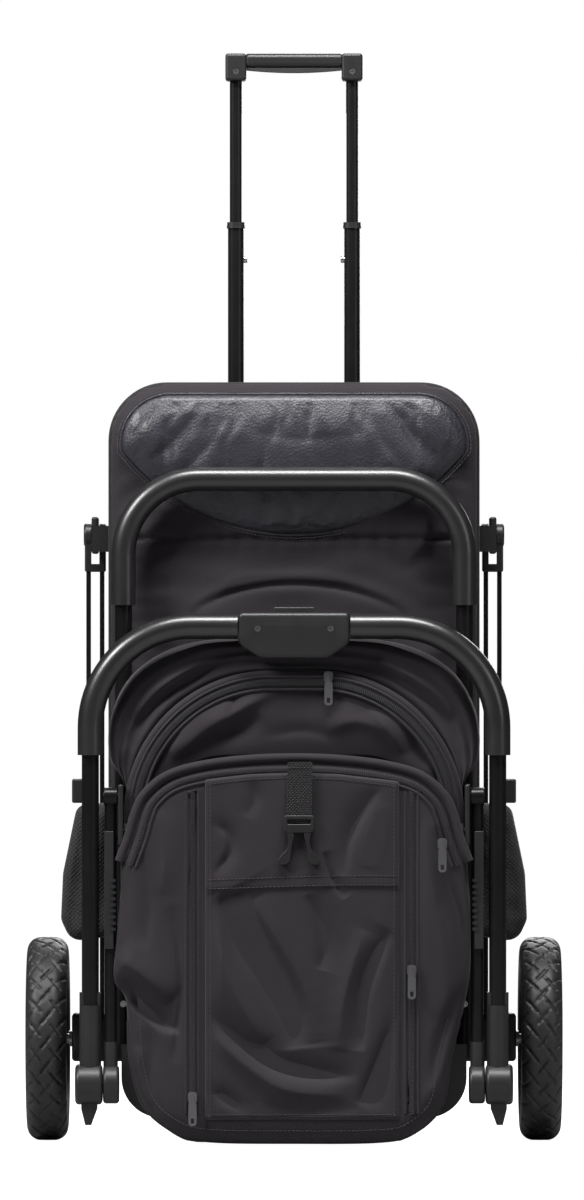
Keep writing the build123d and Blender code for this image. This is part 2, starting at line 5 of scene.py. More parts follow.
import bmesh
import bpy
import numpy as np
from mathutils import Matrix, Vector


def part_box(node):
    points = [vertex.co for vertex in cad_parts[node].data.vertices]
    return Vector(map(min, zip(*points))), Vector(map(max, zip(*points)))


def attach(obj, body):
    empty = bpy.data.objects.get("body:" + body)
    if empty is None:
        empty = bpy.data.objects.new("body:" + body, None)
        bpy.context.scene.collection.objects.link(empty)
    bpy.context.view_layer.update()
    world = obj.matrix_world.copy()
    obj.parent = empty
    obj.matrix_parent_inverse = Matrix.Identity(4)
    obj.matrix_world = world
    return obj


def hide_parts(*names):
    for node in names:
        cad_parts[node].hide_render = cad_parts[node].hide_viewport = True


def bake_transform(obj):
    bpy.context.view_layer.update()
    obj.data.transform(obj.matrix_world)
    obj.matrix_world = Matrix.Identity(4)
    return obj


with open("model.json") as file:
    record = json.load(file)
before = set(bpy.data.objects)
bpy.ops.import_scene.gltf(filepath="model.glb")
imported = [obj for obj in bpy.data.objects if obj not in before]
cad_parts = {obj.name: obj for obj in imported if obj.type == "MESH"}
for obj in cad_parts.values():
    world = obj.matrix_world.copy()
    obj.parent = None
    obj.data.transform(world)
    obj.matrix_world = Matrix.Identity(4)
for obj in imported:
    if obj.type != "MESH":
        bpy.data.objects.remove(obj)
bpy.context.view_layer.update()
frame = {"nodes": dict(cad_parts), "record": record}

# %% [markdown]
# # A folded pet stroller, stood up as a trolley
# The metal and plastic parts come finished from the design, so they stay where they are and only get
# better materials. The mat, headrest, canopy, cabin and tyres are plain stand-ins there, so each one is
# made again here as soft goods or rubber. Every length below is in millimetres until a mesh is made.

MM = 0.001
OUTWARD = (0, -1, 0)        # the way the sewn side of every panel faces
nodes = frame["nodes"]


def node_box(name):
    """Lowest and highest corner of a node, in millimetres."""
    low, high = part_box(name)
    return np.array(low) / MM, np.array(high) / MM


bag_low, bag_high = node_box("cabin_bag")
pad_low, pad_high = node_box("back_pad")
hoop_low, hoop_high = node_box("canopy_hoop")
FRONT = bag_low[1]

# %% [markdown]
# ## Meshes from outlines
# A sewn panel is drawn as an outline seen from the front. Rings shrink from the outline to its middle,
# and a rule says how far each point bulges. This keeps every panel one closed skin, front and back.

# %% Outline and surface helpers


def rounded(points, radii, steps=14):
    """A closed outline whose corners are arcs of the given radii."""
    outline = []
    count = len(points)
    for i, (corner, radius) in enumerate(zip(points, radii)):
        corner = np.array(corner, float)
        to_last = np.array(points[i - 1], float) - corner
        to_next = np.array(points[(i + 1) % count], float) - corner
        to_last /= np.linalg.norm(to_last)
        to_next /= np.linalg.norm(to_next)
        half = math.acos(np.clip(to_last @ to_next, -1, 1)) / 2
        bisector = (to_last + to_next) / np.linalg.norm(to_last + to_next)
        centre = corner + bisector * radius / math.sin(half)
        start = corner + to_last * radius / math.tan(half) - centre
        end = corner + to_next * radius / math.tan(half) - centre
        sweep = math.acos(np.clip(start @ end / radius**2, -1, 1))
        for k in range(steps + 1):
            t = k / steps
            turned = math.sin((1 - t) * sweep) * start + math.sin(t * sweep) * end
            outline.append(centre + turned / math.sin(sweep))
    return np.array(outline)


def even(outline, count, closed=True):
    """The same line with its points evenly spaced."""
    line = np.vstack([outline, outline[:1]]) if closed else np.asarray(outline, float)
    steps = np.linalg.norm(np.diff(line, axis=0), axis=1)
    along = np.concatenate([[0], np.cumsum(steps)])
    at = np.linspace(0, along[-1], count, endpoint=not closed)
    return np.stack([np.interp(at, along, line[:, k]) for k in range(line.shape[1])], axis=1)


def edge_distance(x, z, outline):
    """How far each point lies from the outline."""
    start, end = outline, np.roll(outline, -1, axis=0)
    best = np.full(x.shape, 1e9)
    for (ax, az), (bx, bz) in zip(start, end):
        dx, dz = bx - ax, bz - az
        t = np.clip(((x - ax) * dx + (z - az) * dz) / (dx * dx + dz * dz + 1e-9), 0, 1)
        best = np.minimum(best, np.hypot(x - ax - t * dx, z - az - t * dz))
    return best


def make_object(name, points, faces):
    """A smooth mesh object from points in millimetres."""
    mesh = bpy.data.meshes.new(name)
    mesh.from_pydata((np.asarray(points) * MM).tolist(), [], faces)
    obj = bpy.data.objects.new(name, mesh)
    bpy.context.scene.collection.objects.link(obj)
    work = bmesh.new()
    work.from_mesh(mesh)
    bmesh.ops.recalc_face_normals(work, faces=work.faces)
    work.to_mesh(mesh)
    work.free()
    mesh.polygons.foreach_set("use_smooth", [True] * len(mesh.polygons))
    return obj


def panel(name, outline, front, back, around=320, rings=80, back_rings=6):
    """A closed panel: front and back give y for arrays of x and z inside the outline."""
    edge = even(outline, around)
    middle = edge.mean(axis=0)
    points, first = [], []
    for skin, count in ((front, rings), (back, back_rings)):
        start = 0 if skin is front else 1
        for k in range(start, count):
            ring = middle + (edge - middle) * (1 - k / count)
            y = skin(ring[:, 0], ring[:, 1])
            first.append(len(points))
            points.extend(np.stack([ring[:, 0], y, ring[:, 1]], axis=1).tolist())
        y = skin(np.array([middle[0]]), np.array([middle[1]]))[0]
        first.append(len(points))
        points.append([middle[0], y, middle[1]])
    faces = []
    front_rows, back_rows = first[: rings + 1], [first[0]] + first[rings + 1:]
    for rows in (front_rows, back_rows):
        for a, b in zip(rows[:-2], rows[1:-1]):
            for i in range(around):
                j = (i + 1) % around
                faces.append((a + i, a + j, b + j, b + i))
        faces.extend((rows[-2] + i, rows[-2] + (i + 1) % around, rows[-1]) for i in range(around))
    return make_object(name, points, faces)


def swept(name, path, radius, closed=False):
    """Round piping along a path, as a closed mesh."""
    curve = bpy.data.curves.new(name + "_path", "CURVE")
    curve.dimensions = "3D"
    curve.bevel_depth = radius * MM
    curve.bevel_resolution = 4
    curve.use_fill_caps = True
    spline = curve.splines.new("POLY")
    spline.points.add(len(path) - 1)
    for point, place in zip(spline.points, path):
        point.co = (*(np.asarray(place) * MM), 1)
    spline.use_cyclic_u = closed
    holder = bpy.data.objects.new(name + "_path", curve)
    bpy.context.scene.collection.objects.link(holder)
    evaluated = holder.evaluated_get(bpy.context.evaluated_depsgraph_get())
    mesh = bpy.data.meshes.new_from_object(evaluated)
    mesh.name = name
    bpy.data.objects.remove(holder)
    obj = bpy.data.objects.new(name, mesh)
    bpy.context.scene.collection.objects.link(obj)
    mesh.polygons.foreach_set("use_smooth", [True] * len(mesh.polygons))
    return obj


def through(points, count):
    """A smooth line through a few points."""
    p = np.array(points, float)
    p = np.vstack([2 * p[0] - p[1], p, 2 * p[-1] - p[-2]])
    line = []
    for k in range(1, len(p) - 2):
        for t in np.arange(0, 1, 0.1):
            line.append(0.5 * (2 * p[k] + (p[k + 1] - p[k - 1]) * t
                               + (2 * p[k - 1] - 5 * p[k] + 4 * p[k + 1] - p[k + 2]) * t**2
                               + (3 * p[k] - p[k - 1] - 3 * p[k + 1] + p[k + 2]) * t**3))
    return even(np.array(line + [p[-2]]), count, closed=False)


def crease(x, z, route, width, depth, lean=0.0):
    """A fold along a smooth line: it fades at both ends, and lean makes one flank steeper than the other."""
    line = through(route, 16)
    nearest = np.full(x.shape, 1e9)
    flank = np.zeros_like(x)
    along = np.zeros_like(x)
    for k in range(len(line) - 1):
        (ax, az), (bx, bz) = line[k], line[k + 1]
        dx, dz = bx - ax, bz - az
        t = np.clip(((x - ax) * dx + (z - az) * dz) / (dx * dx + dz * dz), 0, 1)
        away = np.hypot(x - ax - t * dx, z - az - t * dz)
        closer = away < nearest
        nearest = np.where(closer, away, nearest)
        flank = np.where(closer, np.sign(dx * (z - az) - dz * (x - ax)), flank)
        along = np.where(closer, (k + t) / (len(line) - 1), along)
    reach = width * (1 + lean * flank)
    fade = np.clip(np.sin(math.pi * along), 0, 1) ** 0.6
    return depth * fade * np.exp(-((nearest / reach) ** 1.5))


def folded(x, z, folds, start):
    """The start surface with a list of folds added, each a route, width, depth and perhaps a lean."""
    for fold in folds:
        start = start + crease(x, z, *fold)
    return start


def ripples(x, z, seed, size, depth, stretch=(1.0, 1.0)):
    """Gentle uneven waves, the same on every run."""
    rng = np.random.default_rng(seed)
    total = np.zeros_like(x)
    for _ in range(9):
        angle = rng.uniform(0, math.pi)
        pitch = size * rng.uniform(0.7, 1.8)
        phase = rng.uniform(0, 2 * math.pi)
        wave = (x * math.cos(angle) / stretch[0] + z * math.sin(angle) / stretch[1]) / pitch
        total += np.sin(2 * math.pi * wave + phase + 1.3 * np.sin(wave * 2.1 + phase))
    return depth * total / 5


print("helpers ready")

# %% [markdown]
# ## Repeats made with Geometry Nodes
# Stitches, zip teeth and webbing ribs are one small block set out again and again along a line. One node
# tree does all three: it samples the line at a pitch, turns each block to follow it, makes the copies
# real and gives them their material.

# %% Blocks along a line


def repeat_tree():
    tree = bpy.data.node_groups.new("blocks_along_line", "GeometryNodeTree")
    face = tree.interface
    face.new_socket("Geometry", in_out="INPUT", socket_type="NodeSocketGeometry")
    face.new_socket("Pitch", in_out="INPUT", socket_type="NodeSocketFloat")
    face.new_socket("Block Size", in_out="INPUT", socket_type="NodeSocketVector")
    face.new_socket("Facing", in_out="INPUT", socket_type="NodeSocketVector")
    face.new_socket("Twist", in_out="INPUT", socket_type="NodeSocketFloat")
    face.new_socket("Finish", in_out="INPUT", socket_type="NodeSocketMaterial")
    face.new_socket("Geometry", in_out="OUTPUT", socket_type="NodeSocketGeometry")
    make = tree.nodes.new
    source, result = make("NodeGroupInput"), make("NodeGroupOutput")
    line, sample = make("GeometryNodeMeshToCurve"), make("GeometryNodeResampleCurve")
    sample.mode = "LENGTH"
    block = make("GeometryNodeMeshCube")
    tangent = make("GeometryNodeInputTangent")
    facing, following = make("FunctionNodeAlignRotationToVector"), make("FunctionNodeAlignRotationToVector")
    facing.axis = "Z"
    following.axis = "X"
    following.pivot_axis = "Z"
    twist = make("FunctionNodeRotateRotation")
    twist.rotation_space = "LOCAL"
    turn = make("FunctionNodeAxisAngleToRotation")
    turn.inputs["Axis"].default_value = (0, 0, 1)
    copies, real = make("GeometryNodeInstanceOnPoints"), make("GeometryNodeRealizeInstances")
    finish = make("GeometryNodeSetMaterial")
    link = tree.links.new
    link(source.outputs["Geometry"], line.inputs["Mesh"])
    link(line.outputs["Curve"], sample.inputs["Curve"])
    link(source.outputs["Pitch"], sample.inputs["Length"])
    link(source.outputs["Block Size"], block.inputs["Size"])
    link(source.outputs["Facing"], facing.inputs["Vector"])
    link(facing.outputs["Rotation"], following.inputs["Rotation"])
    link(tangent.outputs["Tangent"], following.inputs["Vector"])
    link(following.outputs["Rotation"], twist.inputs["Rotation"])
    link(source.outputs["Twist"], turn.inputs["Angle"])
    link(turn.outputs["Rotation"], twist.inputs["Rotate By"])
    link(sample.outputs["Curve"], copies.inputs["Points"])
    link(block.outputs["Mesh"], copies.inputs["Instance"])
    link(twist.outputs["Rotation"], copies.inputs["Rotation"])
    link(copies.outputs["Instances"], real.inputs["Geometry"])
    link(real.outputs["Geometry"], finish.inputs["Geometry"])
    link(source.outputs["Finish"], finish.inputs["Material"])
    link(finish.outputs["Geometry"], result.inputs["Geometry"])
    return tree


BLOCKS = repeat_tree()


def blocks_along(name, path, pitch, size, finish, closed=False, twist=0.0):
    """Small blocks along a path in millimetres: size is along, across and out."""
    mesh = bpy.data.meshes.new(name + "_line")
    edges = [(i, i + 1) for i in range(len(path) - 1)]
    if closed:
        edges.append((len(path) - 1, 0))
    mesh.from_pydata((np.asarray(path) * MM).tolist(), edges, [])
    holder = bpy.data.objects.new(name + "_line", mesh)
    bpy.context.scene.collection.objects.link(holder)
    modifier = holder.modifiers.new("blocks", "NODES")
    modifier.node_group = BLOCKS
    values = {"Pitch": pitch * MM, "Block Size": [v * MM for v in size], "Facing": OUTWARD,
              "Twist": twist, "Finish": finish}
    for item in BLOCKS.interface.items_tree:
        if item.in_out == "INPUT" and item.name in values:
            modifier[item.identifier] = values[item.name]
    evaluated = holder.evaluated_get(bpy.context.evaluated_depsgraph_get())
    result = bpy.data.meshes.new_from_object(evaluated)
    result.name = name
    bpy.data.objects.remove(holder)
    obj = bpy.data.objects.new(name, result)
    bpy.context.scene.collection.objects.link(obj)
    print(name, len(result.polygons), "faces")
    return obj


# %% [markdown]
# ## Effects that several finishes share
# Each effect is one node group with named inputs. A group gives only heights and masks that change over
# the surface, and every shader stays in its own material.

# %% Effect groups


def group(name, inputs, outputs):
    tree = bpy.data.node_groups.new(name, "ShaderNodeTree")
    for label, kind, value in inputs:
        socket = tree.interface.new_socket(label, in_out="INPUT", socket_type=kind)
        socket.default_value = value
    for label, kind in outputs:
        tree.interface.new_socket(label, in_out="OUTPUT", socket_type=kind)
    return tree, tree.nodes.new("NodeGroupInput"), tree.nodes.new("NodeGroupOutput")


def add_math(tree, operation, first, second=None):
    node = tree.nodes.new("ShaderNodeMath")
    node.operation = operation
    for socket, value in zip(node.inputs, (first, second)):
        if value is None:
            continue
        if isinstance(value, (int, float)):
            socket.default_value = value
        else:
            tree.links.new(value, socket)
    return node.outputs[0]


def place_of(tree):
    return tree.nodes.new("ShaderNodeTexCoord").outputs["Object"]


def noise(tree, place, scale, detail=3.0, rough=0.5):
    node = tree.nodes.new("ShaderNodeTexNoise")
    node.inputs["Detail"].default_value = detail
    node.inputs["Roughness"].default_value = rough
    if isinstance(scale, (int, float)):
        node.inputs["Scale"].default_value = scale
    else:
        tree.links.new(scale, node.inputs["Scale"])
    tree.links.new(place, node.inputs["Vector"])
    return node.outputs["Fac"]


def mixed(tree, mask, dark, light):
    node = tree.nodes.new("ShaderNodeMix")
    node.data_type = "RGBA"
    tree.links.new(mask, node.inputs[0])
    for socket, value in ((node.inputs[6], dark), (node.inputs[7], light)):
        if hasattr(value, "links"):
            tree.links.new(value, socket)
        else:
            socket.default_value = (*value, 1)
    return node.outputs[2]


def weave_group():
    """Crossing threads: a height, and a mask that varies the colour from thread to thread."""
    tree, source, result = group(
        "cloth_weave", [("Threads", "NodeSocketFloat", 900.0), ("Unevenness", "NodeSocketFloat", 0.5)],
        [("Height", "NodeSocketFloat"), ("Shade", "NodeSocketFloat")])
    place = place_of(tree)
    apart = tree.nodes.new("ShaderNodeSeparateXYZ")
    tree.links.new(place, apart.inputs[0])
    waves = []
    for axis in ("X", "Z"):
        across = add_math(tree, "MULTIPLY", apart.outputs[axis], source.outputs["Threads"])
        waves.append(add_math(tree, "SINE", across))
    crossing = add_math(tree, "MULTIPLY", waves[0], waves[1])
    slub = noise(tree, place, 320.0, 4.0, 0.6)
    rough_thread = add_math(tree, "MULTIPLY", slub, source.outputs["Unevenness"])
    height = add_math(tree, "ADD", crossing, rough_thread)
    broad = noise(tree, place, 14.0, 5.0, 0.62)
    large, small = add_math(tree, "MULTIPLY", broad, 0.6), add_math(tree, "MULTIPLY", slub, 0.4)
    shade = add_math(tree, "ADD", large, small)
    tree.links.new(height, result.inputs["Height"])
    tree.links.new(shade, result.inputs["Shade"])
    return tree


def wear_group():
    """Lighter rubbed edges and a fine grain, for paint and moulded plastic."""
    tree, source, result = group(
        "edge_wear", [("Grain", "NodeSocketFloat", 900.0), ("Spread", "NodeSocketFloat", 0.08)],
        [("Edge", "NodeSocketFloat"), ("Height", "NodeSocketFloat"), ("Shade", "NodeSocketFloat")])
    place = place_of(tree)
    shape = tree.nodes.new("ShaderNodeNewGeometry")
    raised = add_math(tree, "SUBTRACT", shape.outputs["Pointiness"], 0.5)
    sharp = add_math(tree, "DIVIDE", raised, source.outputs["Spread"])
    broken = add_math(tree, "MULTIPLY", sharp, noise(tree, place, 60.0, 4.0))
    clamp = tree.nodes.new("ShaderNodeClamp")
    tree.links.new(broken, clamp.inputs["Value"])
    tree.links.new(clamp.outputs[0], result.inputs["Edge"])
    tree.links.new(noise(tree, place, source.outputs["Grain"], 2.0), result.inputs["Height"])
    tree.links.new(noise(tree, place, 9.0, 4.0), result.inputs["Shade"])
    return tree


def dust_group():
    """Thin patchy dust, a little more of it low down."""
    tree, source, result = group(
        "dust", [("Amount", "NodeSocketFloat", 0.2), ("Top", "NodeSocketFloat", 0.25)],
        [("Mask", "NodeSocketFloat")])
    place = place_of(tree)
    apart = tree.nodes.new("ShaderNodeSeparateXYZ")
    tree.links.new(place, apart.inputs[0])
    low = add_math(tree, "SUBTRACT", 1.0, add_math(tree, "DIVIDE", apart.outputs["Z"], source.outputs["Top"]))
    low = add_math(tree, "MAXIMUM", low, 0.15)
    patch = noise(tree, place, 26.0, 6.0, 0.65)
    mask = add_math(tree, "MULTIPLY", add_math(tree, "MULTIPLY", low, patch), source.outputs["Amount"])
    tree.links.new(mask, result.inputs["Mask"])
    return tree


WEAVE, WEAR, DUST = weave_group(), wear_group(), dust_group()
print("effect groups:", [g.name for g in (WEAVE, WEAR, DUST)])

# %% [markdown]
# ## Finishes
# Black objects live from their gloss, not their colour, so every finish differs mostly in roughness,
# sheen and grain: cloth is rough with a faint sheen, foam is satin, paint is tight and even.

# %% Material builder


def start_material(name, roughness, **shader_values):
    material = bpy.data.materials.new(name)
    material.use_nodes = True
    shader = material.node_tree.nodes["Principled BSDF"]
    shader.inputs["Roughness"].default_value = roughness
    for label, value in shader_values.items():
        shader.inputs[label.replace("_", " ")].default_value = value
    return material, material.node_tree, shader


def use_group(tree, effect, **values):
    node = tree.nodes.new("ShaderNodeGroup")
    node.node_tree = effect
    for label, value in values.items():
        node.inputs[label].default_value = value
    return node


def bump(tree, shader, height, distance):
    node = tree.nodes.new("ShaderNodeBump")
    node.inputs["Distance"].default_value = distance
    tree.links.new(height, node.inputs["Height"])
    tree.links.new(node.outputs["Normal"], shader.inputs["Normal"])


def cloth(name, dark, light, roughness=0.78, threads=2600.0, depth=0.00012, sheen=0.12):
    material, tree, shader = start_material(
        name, roughness, Sheen_Weight=sheen, Sheen_Roughness=0.45, Specular_IOR_Level=0.35)
    weave = use_group(tree, WEAVE, Threads=threads, Unevenness=0.8)
    dust = use_group(tree, DUST, Amount=0.06, Top=0.5)
    colour = mixed(tree, weave.outputs["Shade"], dark, light)
    colour = mixed(tree, dust.outputs["Mask"], colour, (0.16, 0.15, 0.15))
    tree.links.new(colour, shader.inputs["Base Color"])
    bump(tree, shader, weave.outputs["Height"], depth)
    return material


WORN = (0.045, 0.045, 0.046)
EDGE_SPREAD = 0.3          # how far wear reaches in from an edge


def hard(name, dark, light, roughness, grain=1400.0, depth=0.00004, edge=WORN, **more):
    material, tree, shader = start_material(name, roughness, **more)
    wear = use_group(tree, WEAR, Grain=grain, Spread=EDGE_SPREAD)
    dust = use_group(tree, DUST, Amount=0.07, Top=0.3)
    colour = mixed(tree, wear.outputs["Shade"], dark, light)
    colour = mixed(tree, wear.outputs["Edge"], colour, edge)
    colour = mixed(tree, dust.outputs["Mask"], colour, (0.14, 0.13, 0.12))
    tree.links.new(colour, shader.inputs["Base Color"])
    rough = add_math(tree, "ADD", add_math(tree, "MULTIPLY", wear.outputs["Shade"], 0.12), roughness - 0.06)
    tree.links.new(rough, shader.inputs["Roughness"])
    bump(tree, shader, wear.outputs["Height"], depth)
    return material


def leatherette():
    """Grained soft cover: small cells with rounded tops and finer creases between them."""
    material, tree, shader = start_material("leatherette", 0.5, Specular_IOR_Level=0.5, Coat_Weight=0.08)
    place = place_of(tree)
    cells = tree.nodes.new("ShaderNodeTexVoronoi")
    cells.inputs["Scale"].default_value = 420.0
    tree.links.new(place, cells.inputs["Vector"])
    fine = noise(tree, place, 1500.0, 3.0)
    broad = noise(tree, place, 22.0, 4.0)
    colour = mixed(tree, broad, (0.018, 0.0168, 0.0225), (0.031, 0.0288, 0.0390))
    tree.links.new(colour, shader.inputs["Base Color"])
    rough = add_math(tree, "ADD", add_math(tree, "MULTIPLY", broad, 0.22), 0.36)
    tree.links.new(rough, shader.inputs["Roughness"])
    height = add_math(tree, "ADD", cells.outputs["Distance"], add_math(tree, "MULTIPLY", fine, 0.35))
    bump(tree, shader, height, 0.00035)
    return material


# %% The finishes of this stroller
FABRIC = cloth("dark_fabric", (0.0128, 0.0100, 0.0130), (0.0235, 0.0186, 0.0242))
LINING = cloth("lining_fabric", (0.014, 0.013, 0.015), (0.026, 0.024, 0.027), sheen=0.08)
MESH_CLOTH = cloth("side_mesh", (0.012, 0.012, 0.013), (0.030, 0.029, 0.031), threads=1500.0, depth=0.0003)
BINDING = cloth("binding_tape", (0.009, 0.0075, 0.009), (0.020, 0.017, 0.0205), threads=3600.0)
WEBBING = cloth("ribbed_webbing", (0.012, 0.012, 0.013), (0.034, 0.033, 0.035), roughness=0.7,
                threads=1900.0, depth=0.0003)
THREAD = cloth("stitch_thread", (0.040, 0.036, 0.041), (0.080, 0.072, 0.082), threads=4000.0)
LEATHERETTE = leatherette()
PAINT = hard("black_paint", (0.003, 0.003, 0.0032), (0.006, 0.006, 0.0064), 0.3, grain=2600.0,
             edge=(0.02, 0.02, 0.021), Specular_IOR_Level=0.22)
PLASTIC = hard("black_plastic", (0.009, 0.009, 0.0095), (0.016, 0.0155, 0.0165), 0.42, grain=1500.0,
               depth=0.00006)
BOARD = hard("board_plastic", (0.020, 0.020, 0.021), (0.034, 0.034, 0.035), 0.6, grain=700.0, depth=0.00015)
FOAM = hard("foam_grip", (0.0075, 0.0072, 0.0078), (0.013, 0.0124, 0.0135), 0.33, grain=1900.0, depth=0.00004,
            edge=(0.03, 0.03, 0.031), Specular_IOR_Level=0.85)
SOFT_GRIP = hard("soft_insert", (0.008, 0.008, 0.008), (0.013, 0.013, 0.013), 0.7, grain=900.0, depth=0.0001)
RUBBER = hard("tyre_rubber", (0.012, 0.012, 0.0125), (0.022, 0.0215, 0.022), 0.5, grain=800.0, depth=0.00012,
              edge=(0.04, 0.04, 0.04))
RIM = hard("rim_plastic", (0.012, 0.012, 0.013), (0.020, 0.020, 0.021), 0.4, grain=1500.0)
STEEL = hard("plated_steel", (0.42, 0.42, 0.43), (0.60, 0.60, 0.61), 0.3, grain=2400.0, depth=0.00002,
             edge=(0.75, 0.75, 0.76), Metallic=1.0)
GUNMETAL = hard("gunmetal", (0.12, 0.12, 0.13), (0.20, 0.20, 0.21), 0.34, grain=2400.0, depth=0.00002,
                edge=(0.34, 0.34, 0.36), Metallic=0.7)
ZIP_TEETH = hard("zip_teeth", (0.030, 0.030, 0.033), (0.062, 0.060, 0.066), 0.3, grain=2000.0)
print(len(bpy.data.materials), "materials")

# %% Give every design part its finish
FINISH_OF_SLOT = {
    "black_paint": PAINT, "black_plastic": PLASTIC, "board_plastic": BOARD, "foam_grip": FOAM,
    "soft_insert": SOFT_GRIP, "dark_fabric": FABRIC, "side_fabric": MESH_CLOTH, "leatherette": LEATHERETTE,
    "webbing": WEBBING, "steel": STEEL, "zip_metal": GUNMETAL, "tyre": RUBBER, "rim_plastic": RIM}
for entry in frame["record"]["subparts"]:
    node = nodes[entry["node"]]
    node.data.materials.clear()
    node.data.materials.append(FINISH_OF_SLOT[entry["material_slot"]])
print("finishes set on", len(nodes), "parts")


def finish_piece(obj, material, body, slot, *replaced):
    """Material and body of a piece, and the plain parts that it stands for; slot is not used."""
    if material:
        obj.data.materials.clear()
        obj.data.materials.append(material)
    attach(obj, body)
    if replaced:
        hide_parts(*replaced)
    return obj


def stitched(name, path, pitch=4.2, size=(2.9, 0.8, 0.7), closed=False):
    """A seam of thread along a path, on the base."""
    finish_piece(blocks_along(name, path, pitch, size, THREAD, closed), None, "base", "dark_fabric")


# %% [markdown]
# ## Padded mat and headrest
# The mat is foam between two cloths, bound round its edge, with one sewn channel across. The headrest is
# a soft leatherette pillow sewn on top. Both are let swell by a short cloth simulation, because pressure
# against a held seam gives the crowned shape and the small puckers that real padding has.

# %% Swelling by cloth simulation


SEAM_HELD = 9.0            # width of the sewn edge that can't swell
SWELL_STEPS = 20


def puff(obj, outline, voxel, pressure, cap, slack):
    """Lets a closed piece swell under pressure, with its sewn edge held and no point moving past cap."""
    remesh = obj.modifiers.new("even_faces", "REMESH")
    remesh.mode = "VOXEL"
    remesh.voxel_size = voxel * MM
    mesh = bpy.data.meshes.new_from_object(obj.evaluated_get(bpy.context.evaluated_depsgraph_get()))
    obj.modifiers.clear()
    obj.data = mesh
    before = np.array([v.co for v in mesh.vertices], float)
    distance = edge_distance(before[:, 0] / MM, before[:, 2] / MM, outline)
    seam = obj.vertex_groups.new(name="seam")
    for index in np.nonzero(distance < SEAM_HELD)[0]:
        seam.add([int(index)], 1.0, "REPLACE")
    cloth_fold = obj.modifiers.new("swelling", "CLOTH")
    settings = cloth_fold.settings
    settings.quality = 4
    settings.mass = 0.3
    settings.use_pressure = True
    settings.uniform_pressure_force = pressure
    settings.shrink_min = -slack
    settings.effector_weights.gravity = 0
    settings.vertex_group_mass = "seam"
    settings.bending_stiffness = 0.3
    cloth_fold.collision_settings.use_collision = False
    scene = bpy.context.scene
    for step in range(1, SWELL_STEPS + 1):
        scene.frame_set(step)
    swollen = bpy.data.meshes.new_from_object(obj.evaluated_get(bpy.context.evaluated_depsgraph_get()))
    after = np.array([v.co for v in swollen.vertices], float)
    move = after - before
    length = np.linalg.norm(move, axis=1, keepdims=True)
    move *= np.minimum(1, cap * MM / np.maximum(length, 1e-9))
    swollen.vertices.foreach_set("co", (before + move).ravel())
    obj.modifiers.clear()
    obj.vertex_groups.clear()
    obj.data = swollen
    scene.frame_set(1)
    smooth = obj.modifiers.new("smooth", "SUBSURF")
    smooth.levels = smooth.render_levels = 1
    obj.data = bpy.data.meshes.new_from_object(obj.evaluated_get(bpy.context.evaluated_depsgraph_get()))
    obj.modifiers.clear()
    obj.data.polygons.foreach_set("use_smooth", [True] * len(obj.data.polygons))
    print(obj.name, "swelled by up to", round(float(length.max() / MM), 1), "mm")
    return obj


def shape_front(obj, offset, front_limit):
    """Moves the front side of a finished mesh by a rule of x and z: grooves, folds and wrinkles."""
    mesh = obj.data
    co = np.array([v.co for v in mesh.vertices], float) / MM
    normal = np.array([v.normal for v in mesh.vertices], float)
    facing = np.clip(-normal[:, 1], 0, 1) ** 0.5
    co[:, 1] += facing * offset(co[:, 0], co[:, 2])
    co[:, 1] = np.maximum(co[:, 1], front_limit)
    mesh.vertices.foreach_set("co", (co * MM).ravel())
    mesh.update()


def crowned(outline, front_y, thickness, roll):
    """Front skin that rises from a thin edge over a rounded shoulder."""
    def skin(x, z):
        depth = np.minimum(edge_distance(x, z, outline) / roll, 1)
        return front_y + thickness * (1 - np.sqrt(1 - (1 - depth) ** 2))
    return skin


def level(y):
    return lambda x, z: np.full_like(np.asarray(x, float), y)


# %% Back mat
PAD_X, PAD_TOP, PAD_FOOT = pad_high[0], pad_high[2], pad_low[2]
CHANNEL_Z = PAD_TOP - 156
mat_outline = rounded([(-PAD_X + 1, PAD_FOOT), (PAD_X - 1, PAD_FOOT), (PAD_X - 1, PAD_TOP - 1),
                       (-PAD_X + 1, PAD_TOP - 1)], [20, 20, 57, 57])
mat_front = pad_low[1] + 2
back_mat = panel("back_mat", mat_outline, crowned(mat_outline, mat_front, 13, 26), level(pad_high[1] - 0.6))
puff(back_mat, mat_outline, 5, 4, 6, 0.01)


MAT_SEAM = np.array([(-104, 522), (-95, 532), (-52, 550), (0, 556), (54, 550), (102, 532), (111, 522)],
                    float)
MAT_FOLDS = [(MAT_SEAM, 3.2, 3.4), (MAT_SEAM + (0, 8), 7, -2.6),
             ([(110, 575), (128, 600), (134, 640)], 9, -3.6, 0.4)]


def mat_relief(x, z):
    channel = 5.0 * np.exp(-(((z - CHANNEL_Z) / 3.2) ** 2)) * (np.abs(x) < PAD_X - 16)
    edge = edge_distance(x, z, mat_outline)
    pucker = 0.5 * np.sin(x / 3.1) * np.exp(-(((z - CHANNEL_Z) / 12) ** 2))
    wrinkles = ripples(x, z, 5, 60, 1.5, (1.6, 1.0)) * np.clip(edge / 30, 0, 1)
    return channel + pucker + wrinkles + folded(x, z, MAT_FOLDS, 0.0)


shape_front(back_mat, mat_relief, pad_low[1] - 6)
finish_piece(back_mat, FABRIC, "base", "dark_fabric", "back_pad")


def inset(outline, distance):
    """The outline moved inwards, for seams that run beside an edge."""
    line = even(outline, 260)
    ahead, behind = np.roll(line, -1, axis=0), np.roll(line, 1, axis=0)
    along = ahead - behind
    along /= np.linalg.norm(along, axis=1, keepdims=True)
    inward = np.stack([-along[:, 1], along[:, 0]], axis=1)
    if ((line.mean(axis=0) - line[0]) @ inward[0]) < 0:
        inward = -inward
    return line + inward * distance


def with_depth(line, y):
    """Points in space from points seen from the front."""
    depth = y(line[:, 0], line[:, 1]) if callable(y) else np.full(len(line), y)
    return np.stack([line[:, 0], depth, line[:, 1]], axis=1)


